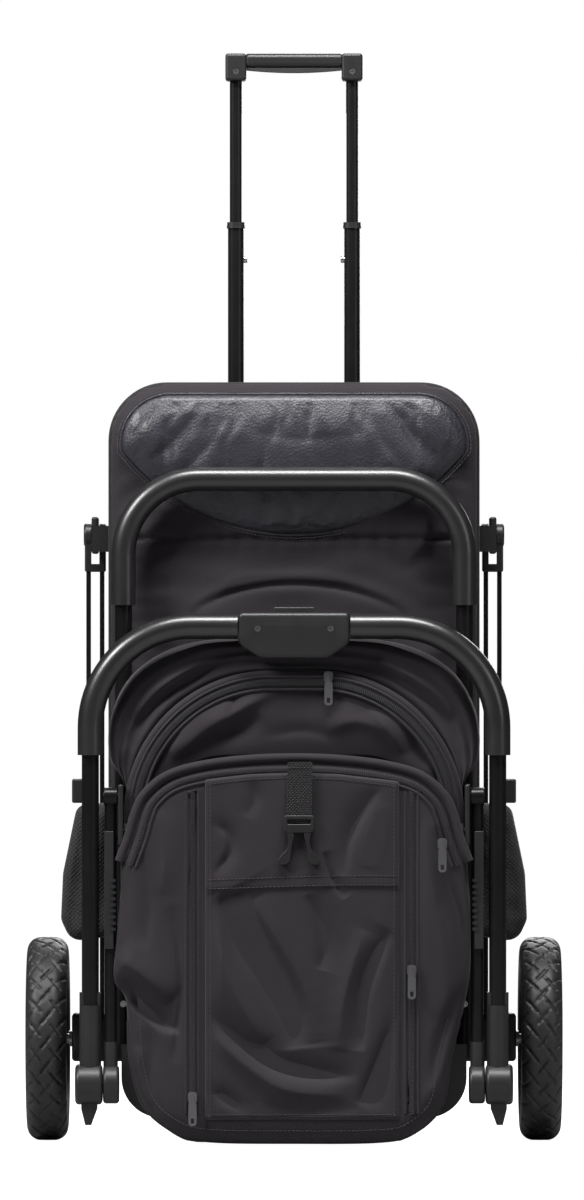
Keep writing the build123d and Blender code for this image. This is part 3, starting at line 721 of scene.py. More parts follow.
mat_binding = swept("mat_binding", with_depth(inset(mat_outline, 3.4), pad_high[1] - 9), 4.2, closed=True)
finish_piece(mat_binding, BINDING, "base", "dark_fabric")
stitched("mat_stitches", with_depth(inset(mat_outline, 8.2), mat_front + 7.6), closed=True)
channel_line = np.stack([np.linspace(-PAD_X + 20, PAD_X - 20, 60), np.full(60, CHANNEL_Z)], axis=1)
seam_line = through(MAT_SEAM - (0, 6), 80)
stitched("channel_stitches", with_depth(channel_line, mat_front + 4.2), 4.0, (2.8, 0.8, 0.8))
stitched("mat_seam_stitches", with_depth(seam_line, mat_front - 0.5), 4.0, (2.8, 0.8, 0.8))

# %% Headrest
pillow_low, pillow_high = node_box("pillow")
top, half = pillow_high[2], pillow_high[0]
side_z, low_z = top - 57, pillow_low[2]
arc_t = np.linspace(0, 1, 60)
arc_radius = (half**2 + (side_z - low_z) ** 2) / (2 * (side_z - low_z))
arc_half = math.asin(half / arc_radius)
arc = np.stack([arc_radius * np.sin(arc_half * (1 - 2 * arc_t)),
                low_z + arc_radius * (1 - np.cos(arc_half * (1 - 2 * arc_t)))], axis=1)
corners = rounded([(-half, side_z - 20), (half, side_z - 20), (half, top), (-half, top)], [0.1, 0.1, 50, 50])
upper = corners[corners[:, 1] > side_z]
upper_right, upper_left = upper[upper[:, 0] > 0], upper[upper[:, 0] <= 0]
pillow_outline = np.vstack([arc[::-1], upper_right, upper_left])
headrest = panel("headrest", pillow_outline, crowned(pillow_outline, pillow_low[1], 11.5, 30),
                 level(pillow_high[1] + 1.0))
puff(headrest, pillow_outline, 4, 4.5, 7, 0.03)


PILLOW_SLACK = 0.6         # the swollen headrest already has wrinkles of its own


PILLOW_FOLDS = [
    ([(-165, 700), (-140, 725), (-118, 738)], 8, 4.2, 0.4),
    ([(-150, 672), (-118, 700), (-96, 726)], 9, 5.0, -0.4),
    ([(-118, 660), (-88, 690), (-70, 722)], 9, 4.2, 0.4),
    ([(150, 676), (120, 702), (98, 730)], 9, 5.0, 0.4),
    ([(112, 668), (92, 694), (76, 724)], 8, 4.0, -0.4),
    ([(-60, 712), (10, 700), (80, 708)], 10, 3.4, 0.3)]


def pillow_relief(x, z):
    edge = np.clip(edge_distance(x, z, pillow_outline) / 24, 0, 1)
    wrinkles = ripples(x + z * 0.6, z, 11, 36, 1.6, (1.0, 2.6))
    folds = folded(x, z, PILLOW_FOLDS, 0.0)
    return (wrinkles + folds) * edge * PILLOW_SLACK


shape_front(headrest, pillow_relief, pillow_low[1] - 9)
finish_piece(headrest, LEATHERETTE, "base", "leatherette", "pillow")
pillow_piping = swept("headrest_piping", with_depth(inset(pillow_outline, 0.5), pillow_high[1] - 1.5), 1.8,
                      closed=True)
finish_piece(pillow_piping, LEATHERETTE, "base", "leatherette")
stitched("headrest_stitches", with_depth(inset(pillow_outline, -2.6), pillow_high[1] - 3.4), 4.0,
         (2.8, 0.7, 0.7), closed=True)

# %% [markdown]
# ## Folded cabin
# The cabin is a cloth tub that has gone slack. Its front is one broad panel under a domed zip, with
# two upright zips and a roll-up flap between them. The cloth hangs from the dome, so its folds run
# mostly downwards and gather above the bottom edge.

# %% Cabin front panel
TUB_X = bag_high[0]
DOME_TOP = bag_high[2]
LEFT_ZIP_X = sum(c[0] for c in node_box("zip_slider_left")) / 2
RIGHT_ZIP_X = sum(c[0] for c in node_box("zip_slider_right")) / 2
half_front = TUB_X - 2
THREAD_RISE = 0.25         # how far stitches stand out of the cloth


def dome(drop):
    """The domed top of the cabin from right to left, with its feet flared out; drop moves it inwards."""
    feet = [(171, 282), (162, 306), (155, 330)]
    crown = [(146, 348), (124, 366), (90, 376), (45, 381.5), (0, 383)]
    side = np.array(feet + crown, float)
    outward = np.array([(1, 0.3)] * 3 + [(0.8, 0.6), (0.5, 0.85), (0.25, 0.97), (0.1, 1), (0, 1)])
    side = side - outward * drop
    return np.vstack([side, (side * (-1, 1))[::-1][1:]])


lower_edge = [(-172, 250), (-176, 205), (-179, 165), (-166, 146), (-163, 90), (-150, 42), (-120, 15),
              (-85, 5.5), (0, 4), (85, 5), (118, 13), (146, 40), (156, 92), (168, 140), (174, 175),
              (175, 225), (172.5, 260)]
cabin_outline = even(through(np.vstack([dome(0), lower_edge, dome(0)[:1]]), 400)[:-1], 200)


CABIN_FOLDS = [
    ([(-182, 162), (-160, 144), (-129, 121), (-112, 116)], 12, 14.0, 0.7),
    ([(-176, 188), (-150, 170), (-122, 146)], 13, -8, 0.4),
    ([(-160, 132), (-142, 116), (-140, 60), (-134, 34)], 9, 6.0, -0.4),
    ([(-152, 100), (-154, 70), (-142, 40)], 7, -4),
    ([(-124, 238), (-114, 196), (-111, 150), (-119, 84)], 7, 4.5, 0.5),
    ([(-150, 290), (-142, 240), (-146, 196)], 9, 3.2, -0.5),
    ([(-132, 332), (-127, 290), (-131, 250)], 9, -3.0, 0.5),
    ([(140, 318), (152, 270), (164, 226), (170, 176)], 8, 6.5, 0.5),
    ([(128, 322), (136, 260), (148, 190), (150, 130)], 14, -5.0, -0.3),
    ([(168, 160), (150, 126), (140, 92), (136, 60)], 9, 5.0, 0.4),
    ([(158, 110), (146, 76), (128, 44)], 8, -3.5),
    ([(-95, 22), (0, 15), (90, 20)], 6, 2.6)]


def cabin_folds(x, z):
    folds = folded(x, z, CABIN_FOLDS, ripples(x, z, 21, 85, 0.9, (1.0, 1.9)))
    channels = np.exp(-(((x - LEFT_ZIP_X) / 11) ** 4)) + np.exp(-(((x - RIGHT_ZIP_X) / 11) ** 4))
    return folds * np.clip(1 - channels, 0, 1) * np.where(np.abs(x - 8) < 92, 0.3, 1.0)


def cabin_front(x, z):
    edge = edge_distance(x, z, cabin_outline)
    roll = crowned(cabin_outline, FRONT + 0.4, 16, 22)(x, z)
    outside = np.maximum(roll + cabin_folds(x, z) * np.clip(edge / 10, 0, 1), FRONT - 9)
    return np.where(z > 285, np.maximum(outside, FRONT - 2.5), outside)


cabin_panel = panel("cabin_panel", cabin_outline, cabin_front, level(FRONT + 19), around=420, rings=110)
finish_piece(cabin_panel, FABRIC, "base", "dark_fabric", "cabin_bag")

# %% Tub behind the front panel
tub_outline = rounded([(-150, 0.5), (150, 0.5), (157, 150), (155, 296), (-155, 296), (-157, 150)],
                      [70, 70, 40, 26, 26, 40])
FRONT_LIFT = 6.0           # how far the tub's front edge hangs above the floor


def tub_ring(t):
    """How far the tub's wall draws in, from its front (0) to its back (1): soft pleats run round it."""
    return 2.5 + 3.2 * math.sin(math.pi * t * 5.2) ** 2 * math.sin(math.pi * t) ** 0.5


def loft(name, outline, y0, y1, slices, draw, wobble=0.0, seed=3, lift=0.0):
    """A closed skin through the same outline at several depths, drawn in by a rule."""
    line = even(outline, 220)
    middle = line.mean(axis=0)
    away = line - middle
    reach = np.linalg.norm(away, axis=1, keepdims=True)
    points, faces = [], []
    for k in range(slices + 1):
        t = k / slices
        wave = ripples(line[:, 0] + 40 * t, line[:, 1], seed, 70, wobble) * math.sin(math.pi * t)
        ring = middle + away * (1 - (draw(t) - wave[:, None]) / reach)
        ring[:, 1] = np.maximum(ring[:, 1], 0.3 + lift * (1 - t) ** 2)
        y = y0 + (y1 - y0) * t
        points.extend(np.stack([ring[:, 0], np.full(len(line), y), ring[:, 1]], axis=1).tolist())
    count = len(line)
    for k in range(slices):
        for i in range(count):
            j = (i + 1) % count
            faces.append((k * count + i, k * count + j, (k + 1) * count + j, (k + 1) * count + i))
    for start, y in ((0, y0), (slices * count, y1)):
        points.append([middle[0], y, middle[1]])
        faces.extend((start + i, start + (i + 1) % count, len(points) - 1) for i in range(count))
    return make_object(name, points, faces)


cabin_tub = loft("cabin_tub", tub_outline, FRONT + 12, bag_high[1] - 0.5, 60, tub_ring, 1.6,
                 lift=FRONT_LIFT)
finish_piece(cabin_tub, LINING, "base", "dark_fabric")


def bottom_rim(distance):
    """The part of the cabin's outline that runs round the bottom, from side to side."""
    line = inset(cabin_outline, distance)
    low = line[line[:, 1] < 128]
    return low[np.argsort(np.arctan2(low[:, 1] - 150, low[:, 0]))]


rim_path = with_depth(bottom_rim(2.5), FRONT + 13)
rim_path[:, 2] = np.maximum(rim_path[:, 2], 3.4)
cabin_rim = swept("cabin_rim", rim_path, 3.1)
finish_piece(cabin_rim, BINDING, "base", "dark_fabric")
stitched("rim_stitches", with_depth(bottom_rim(13.0), lambda x, z: cabin_front(x, z) - THREAD_RISE))

# %% Roll-up flap between the upright zips
flap_low, flap_high = node_box("front_flap")
FLAP_LEFT, FLAP_RIGHT, FLAP_FOOT = flap_low[0] + 0.5, flap_high[0] - 0.5, flap_low[2]
FLAP_Y = flap_low[1]
flap_top = dome(13)
flap_top = flap_top[(flap_top[:, 0] < FLAP_RIGHT) & (flap_top[:, 0] > FLAP_LEFT)]
flap_outline = np.vstack([[(FLAP_LEFT, FLAP_FOOT), (FLAP_RIGHT, FLAP_FOOT), (FLAP_RIGHT, 361)],
                          flap_top, [(FLAP_LEFT, 363)]])
HEM_Z = 255.0              # lower edge of the flap's upper layer
FLAP_SLACK = 1.35          # how deep the slack cloth folds


def hem_height(x):
    """The hem sags a little to the left."""
    return HEM_Z + 2.5 * np.sin((x + 40) / 70)


FLAP_FOLDS = [
    ([(-71, 250), (-42, 200), (-12, 150), (-2, 122), (1, 98)], 22, 11.5, 0.45),
    ([(-84, 236), (-74, 190), (-52, 140), (-30, 104)], 15, -6.0, -0.3),
    ([(-40, 244), (-14, 200), (12, 150), (20, 104)], 14, -5.5, 0.3),
    ([(-90, 140), (-62, 110), (-20, 80), (24, 70), (62, 72)], 11, 7.0, 0.5),
    ([(-86, 116), (-50, 84), (-10, 58), (50, 52)], 10, -4.5, 0.2),
    ([(96, 214), (82, 186), (70, 150), (66, 96)], 9, 7.5, -0.5),
    ([(70, 214), (58, 180), (48, 140), (44, 96)], 12, -4.5, 0.2),
    ([(102, 136), (90, 96), (76, 62), (64, 42)], 13, 6.5, 0.5),
    ([(14, 250), (24, 222), (30, 196), (26, 176)], 9, 4.0, 0.4),
    ([(86, 356), (68, 330), (54, 300), (50, 268)], 8, 4.0, -0.5),
    ([(94, 340), (80, 310), (70, 276)], 9, -2.6, 0.3),
    ([(30, 292), (36, 268), (50, 246)], 5, 3.4, 0.5),
    ([(-86, 322), (-66, 310), (-64, 290), (-80, 270)], 6, 3.6, 0.4),
    ([(-44, 366), (-38, 346), (-46, 326)], 7, 2.4),
    ([(-86, 58), (-66, 46), (-48, 30)], 7, 4.0, 0.4),
    ([(-30, 44), (20, 32), (70, 40)], 7, 2.2)]


def flap_folds(x, z):
    folds = folded(x, z, FLAP_FOLDS, ripples(x, z, 31, 80, 0.8, (1.0, 1.7)))
    return folds


def flap_front(x, z):
    edge = edge_distance(x, z, flap_outline)
    hem = hem_height(x)
    overlap = 1.7 / (1 + np.exp((z - hem) / 0.7))
    swell = -3.0 * np.sin(math.pi * np.clip((z - FLAP_FOOT) / 300, 0, 1)) * np.cos(
        math.pi * np.clip((x - 8) / 230, -0.5, 0.5))
    rim = crowned(flap_outline, FLAP_Y + 1.2, 3.0, 3)(x, z)
    cloth_y = (FLAP_SLACK * flap_folds(x, z) + swell) * np.clip((edge - 2) / 14, 0, 1)
    return rim + overlap + np.maximum(cloth_y, np.where(z > 250, -1.4, -9.0))


front_flap = panel("roll_up_flap", flap_outline, flap_front, level(FRONT + 3.5), around=400, rings=110)
finish_piece(front_flap, FABRIC, "base", "dark_fabric", "front_flap")
hem_x = np.linspace(FLAP_LEFT + 5, FLAP_RIGHT - 5, 50)
for label, line in (("flap_stitches", inset(flap_outline, 5.0)),
                    ("hem_stitches", np.stack([hem_x, hem_height(hem_x) + 11], axis=1)),
                    ("hem_edge_stitches", np.stack([hem_x, hem_height(hem_x) + 2], axis=1))):
    on_flap = with_depth(line, lambda x, z: flap_front(x, z) - THREAD_RISE)
    stitched(label, on_flap, closed=label == "flap_stitches")

# %% [markdown]
# ## Zips
# A zip is two cloth tapes and one row of interlocked teeth. The tapes are a flat strip that follows the
# cloth, the teeth are blocks turned a little off square on the line tree, and the slider keeps its
# place from the design, because it moves.

# %% Tapes and teeth


def ribbon(name, line, width, y, thickness=0.9):
    """A flat strip that follows a line on the cloth, with its own thickness."""
    ahead = np.gradient(line, axis=0)
    ahead /= np.linalg.norm(ahead, axis=1, keepdims=True)
    side = np.stack([-ahead[:, 1], ahead[:, 0]], axis=1) * width / 2
    points, faces = [], []
    for lift in (0, thickness):
        for sign in (-1, 1):
            row = with_depth(line + sign * side, y)
            row[:, 1] -= lift
            points.extend(row.tolist())
    count = len(line)
    a, b, c, d = 0, count, 2 * count, 3 * count
    for i in range(count - 1):
        for p, q in ((a, b), (d, c), (b, d), (c, a)):
            faces.append((p + i, p + i + 1, q + i + 1, q + i))
    faces.extend([(a, b, d, c), (a + count - 1, c + count - 1, d + count - 1, b + count - 1)])
    return make_object(name, points, faces)


TAPE_WIDTH = 12.5
TOOTH_PITCH, TOOTH_SIZE, TOOTH_TURN = 1.9, (1.0, 4.6, 1.5), 0.22


def zip_along(name, line, y, body):
    """Two tapes side by side, a raised edge on each, and a row of teeth over the gap."""
    tape = ribbon(name + "_tape", line, TAPE_WIDTH, y)
    finish_piece(tape, BINDING, body, "dark_fabric")
    ahead = np.gradient(line, axis=0)
    across = np.stack([-ahead[:, 1], ahead[:, 0]], axis=1)
    across /= np.linalg.norm(ahead, axis=1, keepdims=True)
    for word, sign in (("outer", 1), ("inner", -1)):
        edge_line = with_depth(line + sign * across * TAPE_WIDTH / 2, y)
        edge_line[:, 1] -= 0.6
        edge = swept(f"{name}_edge_{word}", edge_line, 1.5)
        finish_piece(edge, FABRIC, body, "dark_fabric")

    def raised(x, z):
        return (y(x, z) if callable(y) else np.full_like(x, y)) - 1.3

    teeth = blocks_along(name + "_teeth", with_depth(line, raised), TOOTH_PITCH, TOOTH_SIZE, ZIP_TEETH,
                         twist=TOOTH_TURN)
    finish_piece(teeth, None, body, "zip_metal")


for word, x in (("left", LEFT_ZIP_X), ("right", RIGHT_ZIP_X)):
    upright = np.stack([np.full(80, x), np.linspace(34, 352, 80)], axis=1)
    zip_along(f"{word}_zip", upright, FRONT + 1.3, "base")

dome_line = through(dome(9.5), 170)
zip_along("dome_zip", dome_line, cabin_front, "base")
dome_piping = swept("dome_piping", with_depth(through(dome(-1.5), 130), FRONT + 7), 4.4)
finish_piece(dome_piping, FABRIC, "base", "dark_fabric")

# %% [markdown]
# ## Canopy
# Folded, the canopy is a stack of curved cloth bands round the cabin's dome. The band inside the wire
# hoop goes with the hoop. The sheet behind it joins the hoop to the base, and is made here as a band
# on its own.

# %% Canopy bands
canopy_low, canopy_high = node_box("canopy_folds")
HOOP_X = hoop_high[0] - 3.6
HOOP_TOP = hoop_high[2] - 3.6
HOOP_Y = (hoop_low[1] + hoop_high[1]) / 2
HOOP_R = 140.0


def arch_line(half, foot, top, radius, count=140):
    """An arch seen from the front: two upright legs and rounded shoulders."""
    frame_line = [(-half, foot), (-half, top), (half, top), (half, foot)]
    corner = rounded(frame_line, [0.1, radius, radius, 0.1], 30)
    start = int(np.argmin(corner[:, 1] + (corner[:, 0] > 0) * 1e3))
    line = np.roll(corner, -start, axis=0)
    keep = line[(line[:, 1] > foot + 0.5) | (np.abs(np.abs(line[:, 0]) - half) < 0.2)]
    keep = keep[np.argsort(-np.arctan2(keep[:, 1] - foot + 20, keep[:, 0]))]
    return even(keep, count, closed=False)


def band(name, outer, inner, depth, across=36, thickness=2.2, bulge=6.0, seed=9, folds=()):
    """A closed cloth band between two arches, bulging to the front, with its own folds."""
    count = len(outer)
    points, faces = [], []
    for lift in (0, thickness):
        for k in range(across + 1):
            t = k / across
            line = outer * (1 - t) + inner * t
            y = np.full(count, depth(t), float) - bulge * math.sin(math.pi * t)
            soft = math.sin(math.pi * t) ** 1.3 if 0 < t < 1 else 0
            y += soft * ripples(line[:, 0], line[:, 1], seed, 44, 1.5, (1.8, 0.8))
            for fold in folds:
                y += soft * crease(line[:, 0], line[:, 1], *fold)
            points.extend(np.stack([line[:, 0], y + lift, line[:, 1]], axis=1).tolist())
    rows = across + 1
    for layer in (0, rows * count):
        for k in range(across):
            for i in range(count - 1):
                p = layer + k * count + i
                faces.append((p, p + 1, p + count + 1, p + count))
    back = rows * count
    for i in range(count - 1):
        faces.append((i, i + 1, back + i + 1, back + i))
        low = across * count + i
        faces.append((low, back + low, back + low + 1, low + 1))
    for k in range(across):
        for i in (0, count - 1):
            p = k * count + i
            faces.append((p, p + count, back + p + count, back + p))
    return make_object(name, points, faces)


hoop_line = arch_line(HOOP_X, hoop_low[2] + 10, HOOP_TOP, HOOP_R)
valance_inner = arch_line(half_front - 3, hoop_low[2] + 9, DOME_TOP + 3, 88)
valance_folds = [
    ([(-120, 384), (-92, 408), (-50, 434), (-10, 456)], 11, -7.5, 0.5),
    ([(-96, 396), (-66, 408), (-30, 424)], 10, 5, -0.3), ([(-66, 452), (-60, 438), (-66, 424)], 6, 4, 0.5),
    ([(136, 376), (124, 400), (116, 436)], 9, 6.5, 0.5), ([(108, 388), (94, 408), (76, 432)], 9, -5, -0.4),
    ([(30, 410), (60, 420), (92, 410)], 8, -4, 0.3), ([(-146, 350), (-134, 384), (-114, 410)], 8, 5.5, 0.4),
    ([(150, 336), (144, 366), (132, 392)], 8, 5.5, -0.4), ([(-30, 404), (10, 410), (40, 402)], 7, 3, 0.4)]
valance = band("canopy_valance", hoop_line, valance_inner, lambda t: HOOP_Y - 1.5 + 1.5 * t,
               folds=valance_folds, bulge=3.5)
finish_piece(valance, FABRIC, "canopy", "dark_fabric")

hoop_sleeve = swept("hoop_sleeve", with_depth(hoop_line, HOOP_Y), 4.4)
finish_piece(hoop_sleeve, FABRIC, "canopy", "dark_fabric")
zip_path = arch_line(HOOP_X - 8, hoop_low[2] + 14, HOOP_TOP - 8, HOOP_R - 6, 200)
zip_along("hoop_zip", zip_path, HOOP_Y - 5.6, "canopy")

outer_folds = [
    ([(-156, 424), (-120, 462), (-76, 486)], 9, -7, 0.5),
    ([(-168, 396), (-140, 440), (-104, 466)], 8, 6, -0.4),
    ([(-112, 446), (-84, 470), (-50, 482)], 8, 5, 0.4),
    ([(156, 424), (120, 460), (82, 484)], 9, -7, -0.5),
    ([(168, 400), (144, 438), (110, 464)], 8, 6, 0.4),
    ([(112, 450), (90, 470), (52, 484)], 7, 5, -0.4)]
shade_side = [(165, 332), (168, 362), (180, 385), (178, 425), (152, 468), (100, 494), (50, 500)]
shade_points = [(-x, z) for x, z in shade_side] + [(0, 501)] + shade_side[::-1]
sheet_outer = even(through(shade_points, 300), 140, closed=False)
shade = band("canopy_shade", sheet_outer, arch_line(HOOP_X + 1, 322, HOOP_TOP + 1, HOOP_R),
             lambda t: canopy_low[1] - 1 - 3.0 * t + 1.6 * math.cos(t * 19), folds=outer_folds,
             bulge=2.5, seed=17)
shade.data.materials.append(FABRIC)
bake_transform(shade)

# %% Stack of folds behind the hoop
stack_outline = even(through([(-163, 330), (-170, 362), (-183, 385), (-180, 430), (-154, 472), (-100, 498),
                              (0, 504), (100, 498), (154, 472), (180, 430), (183, 385), (170, 362),
                              (163, 330), (0, 326), (-163, 330)], 400)[:-1], 200)


def stack_front(x, z):
    roll = crowned(stack_outline, canopy_low[1] + 4.5, 14, 30)(x, z)
    rows = edge_distance(x, z, stack_outline)
    pleats = 3.4 * np.abs(np.sin(rows / 7.4)) * np.exp(-rows / 80)
    return roll + np.maximum(ripples(x, z, 41, 50, 1.2) - pleats, -4.5)


fold_stack = panel("canopy_stack", stack_outline, stack_front, level(canopy_low[1] + 21), rings=70)
finish_piece(fold_stack, FABRIC, "base", "dark_fabric", "canopy_folds")
rear_outline = rounded([(-156, 302), (156, 302), (156, 498), (-156, 498)], [8, 8, 92, 92])
rear_stack = loft("canopy_rear_stack", rear_outline, canopy_low[1] + 22, canopy_high[1] - 0.4, 30,
                  lambda t: 2 + 2.6 * math.sin(math.pi * t * 4) ** 2, 0.8, seed=8)
finish_piece(rear_stack, LINING, "base", "dark_fabric")

# %% [markdown]
# ## Side cloth, strap and buckle
# The mesh sides of the basket hang outside the legs as loose loops of cloth. The strap is 25 mm webbing,
# thin and ribbed, so it is made directly with its ribs as real blocks. Half a buckle hangs from it: flat
# moulded plates, so each is a filled curve given a thickness and rounded edges.

# %% Side cloth
side_low, side_high = node_box("side_cloth")
for word, side in (("left", -1), ("right", 1)):
    side_outline = rounded(
        [(side * 161, 208), (side * 222, 200), (side * 232, 222), (side * 230, 268), (side * 216, 336),
         (side * 190, 338), (side * 161, 336)], [8, 16, 14, 40, 12, 30, 8], steps=8)

    def side_front(x, z, outline=side_outline, seed=51 + side):
        roll = crowned(outline, side_low[1] + 1, 14, 16)(x, z)
        pleats = 2.2 * np.sin((np.abs(x) - 160 + (z - 200) * 0.16) / 4.6)
        return roll + np.maximum((pleats + ripples(x, z, seed, 34, 1.6)) * np.clip(
            edge_distance(x, z, outline) / 10, 0, 1), -3)

    cloth_side = panel(f"side_cloth_{word}", side_outline, side_front, level(side_high[1] - 0.5), 200, 50)
    if side < 0:
        finish_piece(cloth_side, MESH_CLOTH, "base", "side_fabric", "side_cloth")
    else:
        finish_piece(cloth_side, MESH_CLOTH, "base", "side_fabric")

# %% Webbing strap with its folded end
strap_low, strap_high = node_box("strap")
strap_mid = (strap_low[0] + strap_high[0]) / 2
strap_z = np.linspace(strap_low[2] - 7, strap_high[2], 60)
strap_line = np.stack([np.full(60, strap_mid) + 0.8 * np.sin((strap_z - 320) / 30), strap_z], axis=1)


def strap_depth(x, z):
    return strap_high[1] - 1.5 - 1.4 * np.sin(np.clip((z - 320) / 60, 0, 1) * math.pi)


webbing = ribbon("webbing_strap", strap_line, 24.4, strap_depth, 1.5)
finish_piece(webbing, WEBBING, "base", "webbing", "strap")
ribs = blocks_along("webbing_ribs", with_depth(strap_line, lambda x, z: strap_depth(x, z) - 1.5), 1.7,
                    (1.15, 24.0, 0.7), WEBBING)
finish_piece(ribs, None, "base", "webbing")
tack_line = np.stack([np.linspace(strap_mid - 9, strap_mid + 9, 10), np.full(10, strap_high[2] - 5)], axis=1)
stitched("strap_tack", with_depth(tack_line, strap_low[1] - 0.6), 3.2, (2.3, 0.9, 0.8))

# %% Buckle: a frame with a bar for the webbing and two sprung prongs
buckle_low, buckle_high = node_box("buckle")
BUCKLE_TOP = buckle_high[2]


def plate(name, outline, y0, y1, edge, holes=()):
    """A flat moulded plate with rounded edges, cut from a filled curve."""
    curve = bpy.data.curves.new(name + "_curve", "CURVE")
    curve.dimensions = "2D"
    curve.fill_mode = "BOTH"
    curve.extrude = (y1 - y0) / 2 * MM - edge * MM
    curve.bevel_depth = edge * MM
    curve.bevel_resolution = 3
    curve.offset = -edge * MM
    for ring in (outline, *holes):
        spline = curve.splines.new("POLY")
        spline.points.add(len(ring) - 1)
        for point, (px, pz) in zip(spline.points, ring):
            point.co = (px * MM, pz * MM, 0, 1)
        spline.use_cyclic_u = True
    holder = bpy.data.objects.new(name + "_curve", curve)
    bpy.context.scene.collection.objects.link(holder)
    mesh = bpy.data.meshes.new_from_object(holder.evaluated_get(bpy.context.evaluated_depsgraph_get()))
    bpy.data.objects.remove(holder)
    work = bmesh.new()
    work.from_mesh(mesh)
    for vert in work.verts:
        px, pz, out = vert.co
        vert.co = (px, (y0 + y1) / 2 * MM - out, pz)
    bmesh.ops.remove_doubles(work, verts=work.verts, dist=1e-6)
    bmesh.ops.recalc_face_normals(work, faces=work.faces)
    work.to_mesh(mesh)
    work.free()
    mesh.name = name
    obj = bpy.data.objects.new(name, mesh)
    bpy.context.scene.collection.objects.link(obj)
    return obj


frame_outline = rounded([(strap_mid - 15, BUCKLE_TOP - 17), (strap_mid + 15, BUCKLE_TOP - 17),
                         (strap_mid + 15, BUCKLE_TOP), (strap_mid - 15, BUCKLE_TOP)], [5, 5, 2.5, 2.5], 6)
SLOT_HALF, SLOT_FOOT, SLOT_HEAD = 11.5, BUCKLE_TOP - 8.5, BUCKLE_TOP - 4
frame_slot = rounded([(strap_mid - SLOT_HALF, SLOT_FOOT), (strap_mid + SLOT_HALF, SLOT_FOOT),
                      (strap_mid + SLOT_HALF, SLOT_HEAD), (strap_mid - SLOT_HALF, SLOT_HEAD)], [1, 1, 1, 1], 4)
buckle_frame = plate("buckle_frame", frame_outline, buckle_low[1], buckle_high[1], 1.0, [frame_slot[::-1]])
finish_piece(buckle_frame, PLASTIC, "base", "black_plastic", "buckle")
for word, side in (("left", -1), ("right", 1)):
    outer = through([(6.5, 1), (11.5, 0), (10.5, -8), (12, -16), (17.5, -22), (20.5, -27), (19, -31)], 40)
    inner = through([(15.5, -31.5), (11.5, -30.5), (9, -27.5), (8, -20), (6.6, -10), (4.5, -2)], 40)
    prong_line = np.vstack([outer, inner]) * (side, 1) + (strap_mid, BUCKLE_TOP - 17)
    prong = plate(f"buckle_prong_{word}", prong_line, buckle_low[1] + 0.6, buckle_high[1] - 0.4, 0.7)
    finish_piece(prong, PLASTIC, "base", "black_plastic")

# %% [markdown]
# ## Tyres
# The tyre is turned foam rubber, and its tread follows a rule. Two sets of slanting grooves weave over
# and under each other round the crown and fade on the shoulders, so one formula in angle and width
# gives the height everywhere.

# %% Turned tyre with woven tread


LUGS = 26                  # turns of the tread's weave round a tyre
TREAD_SLANT = 19           # width over which a groove moves on by one lug
GROOVE = 0.075             # width of a groove, as a share of a lug


def tyre_mesh(name, centre, radius, inner, width, tread, around, across, pitch):
    """A closed ring: its section runs round a rounded rectangle, its crown carries the tread."""
    half = width / 2
    shoulder = min(half, (radius - inner) / 2) * 0.93
    section = rounded([(-half, inner), (half, inner), (half, radius), (-half, radius)],
                      [shoulder * 0.5, shoulder * 0.5, shoulder, shoulder], 12)
    section = even(section, across)
    angle = np.arange(around) * 2 * math.pi / around
    points = []
    for x, r in section:
        crown = np.clip((r - radius + shoulder * 1.25) / (shoulder * 0.5), 0, 1)
        run = angle * radius
        left, right = run / pitch + x / TREAD_SLANT, run / pitch - x / TREAD_SLANT
        weave_a = np.abs(left % 1 - 0.5)
        weave_b = np.abs(right % 1 - 0.5)
        over = (np.floor(left) + np.floor(right)) % 2
        groove_a = np.exp(-((weave_a / GROOVE) ** 2)) * (0.35 + 0.65 * over)
        groove_b = np.exp(-((weave_b / GROOVE) ** 2)) * (0.35 + 0.65 * (1 - over))
        groove = np.maximum(groove_a, groove_b)
        r_here = r - tread * groove * crown
        points.extend(np.stack([np.full(around, centre[0] + x), centre[1] + r_here * np.sin(angle),
                                centre[2] + r_here * np.cos(angle)], axis=1).tolist())
    faces = []
    rows = len(section)
    for k in range(rows):
        n = (k + 1) % rows
        for i in range(around):
            j = (i + 1) % around
            faces.append((k * around + i, k * around + j, n * around + j, n * around + i))
    return make_object(name, points, faces)


for word in ("left", "right"):
    for node, body, round_it, inner, depth, around, across in (
            (f"tyre_{word}", f"wheel_{word}", 638.0, 72.0, 2.4, 780, 84),
            (f"caster_tyre_{word}", f"caster_wheel_{word}", 440.0, 50.0, 1.4, 480, 48)):
        low, high = node_box(node)
        middle = (low + high) / 2
        radius = (high[2] - low[2]) / 2
        rubber = tyre_mesh(node + "_tread", middle, radius, inner, high[0] - low[0], depth, around, across,
                           round_it / LUGS)
        finish_piece(rubber, RUBBER, body, "tyre", node)
        print(node, "radius", round(radius, 1))

# %% [markdown]
# ## Light, floor and camera
# A black object on white needs soft sources that draw long highlights along the tubes. The white that the
# camera sees gives almost no light, so that blacks stay black. The camera stands far back and level with
# the middle of the object, so uprights stay parallel.

# %% Studio
world = bpy.data.worlds.new("studio")
bpy.context.scene.world = world
world.use_nodes = True
bpy.context.scene.view_settings.view_transform = "Standard"
AROUND, SEEN = 0.05, 1.0   # the white round the object, as light on it and as the camera sees it
background = world.node_tree.nodes["Background"]
background.inputs["Color"].default_value = (1, 1, 1, 1)
ray = world.node_tree.nodes.new("ShaderNodeLightPath")
strength = world.node_tree.nodes.new("ShaderNodeMapRange")
strength.inputs["To Min"].default_value = AROUND
strength.inputs["To Max"].default_value = SEEN
world.node_tree.links.new(ray.outputs["Is Camera Ray"], strength.inputs["Value"])
world.node_tree.links.new(strength.outputs["Result"], background.inputs["Strength"])

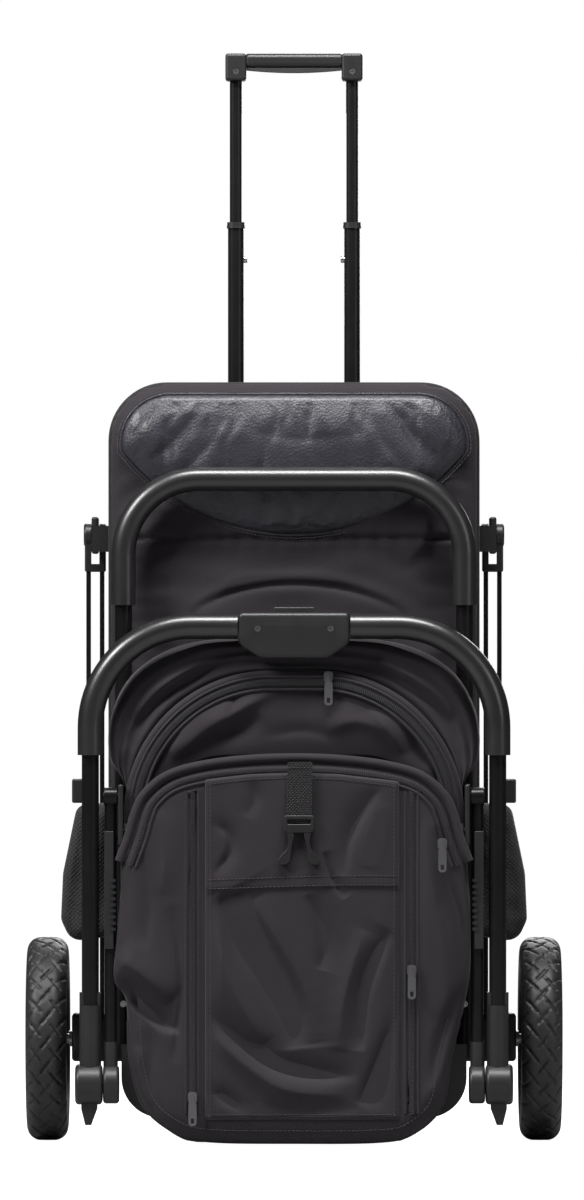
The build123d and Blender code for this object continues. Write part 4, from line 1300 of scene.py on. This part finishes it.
FLOOR_HALF = 40            # metres
floor_mesh = bpy.data.meshes.new("floor")
floor_mesh.from_pydata([(-FLOOR_HALF, -FLOOR_HALF, 0), (FLOOR_HALF, -FLOOR_HALF, 0),
                        (FLOOR_HALF, FLOOR_HALF, 0), (-FLOOR_HALF, FLOOR_HALF, 0)], [], [(0, 1, 2, 3)])
floor = bpy.data.objects.new("floor", floor_mesh)
bpy.context.scene.collection.objects.link(floor)
floor_finish = bpy.data.materials.new("pale_floor")
floor_finish.use_nodes = True
floor_shader = floor_finish.node_tree.nodes["Principled BSDF"]
floor_shader.inputs["Base Color"].default_value = (0.32, 0.32, 0.32, 1)
floor_shader.inputs["Roughness"].default_value = 0.9
floor_shader.inputs["Emission Color"].default_value = (1, 1, 1, 1)
floor_ray = floor_finish.node_tree.nodes.new("ShaderNodeLightPath")
floor_finish.node_tree.links.new(floor_ray.outputs["Is Camera Ray"], floor_shader.inputs["Emission Strength"])
floor.data.materials.append(floor_finish)


def area_light(name, place, target, size, power):
    light = bpy.data.lights.new(name, "AREA")
    light.shape = "RECTANGLE"
    light.size, light.size_y = size
    light.energy = power
    obj = bpy.data.objects.new(name, light)
    bpy.context.scene.collection.objects.link(obj)
    obj.location = place
    obj.rotation_euler = (Vector(target) - Vector(place)).to_track_quat("-Z", "Y").to_euler()
    return obj


area_light("key", (-1.8, -1.2, 2.0), (0, 0, 0.45), (0.6, 0.7), 56)
area_light("fill", (2.0, -2.0, 1.3), (0, 0, 0.45), (0.7, 1.4), 9)
area_light("top", (0.1, -0.9, 2.6), (0, 0, 0.4), (1.4, 0.35), 78)
area_light("back", (0.4, 2.2, 1.6), (0, 0, 0.5), (1.6, 1.6), 45)

# %% Camera
VIEW_TALL = 1.2            # metres of height that the picture takes in
DISTANCE = 10.0
EYE = (-0.002, -DISTANCE, 0.540)
camera = bpy.data.cameras.new("camera")
camera.sensor_fit = "VERTICAL"
camera.sensor_height = 36.0
camera.lens = camera.sensor_height * DISTANCE / VIEW_TALL
camera_object = bpy.data.objects.new("camera", camera)
bpy.context.scene.collection.objects.link(camera_object)
camera_object.location = EYE
camera_object.rotation_euler = (math.pi / 2, 0, 0)
bpy.context.scene.camera = camera_object
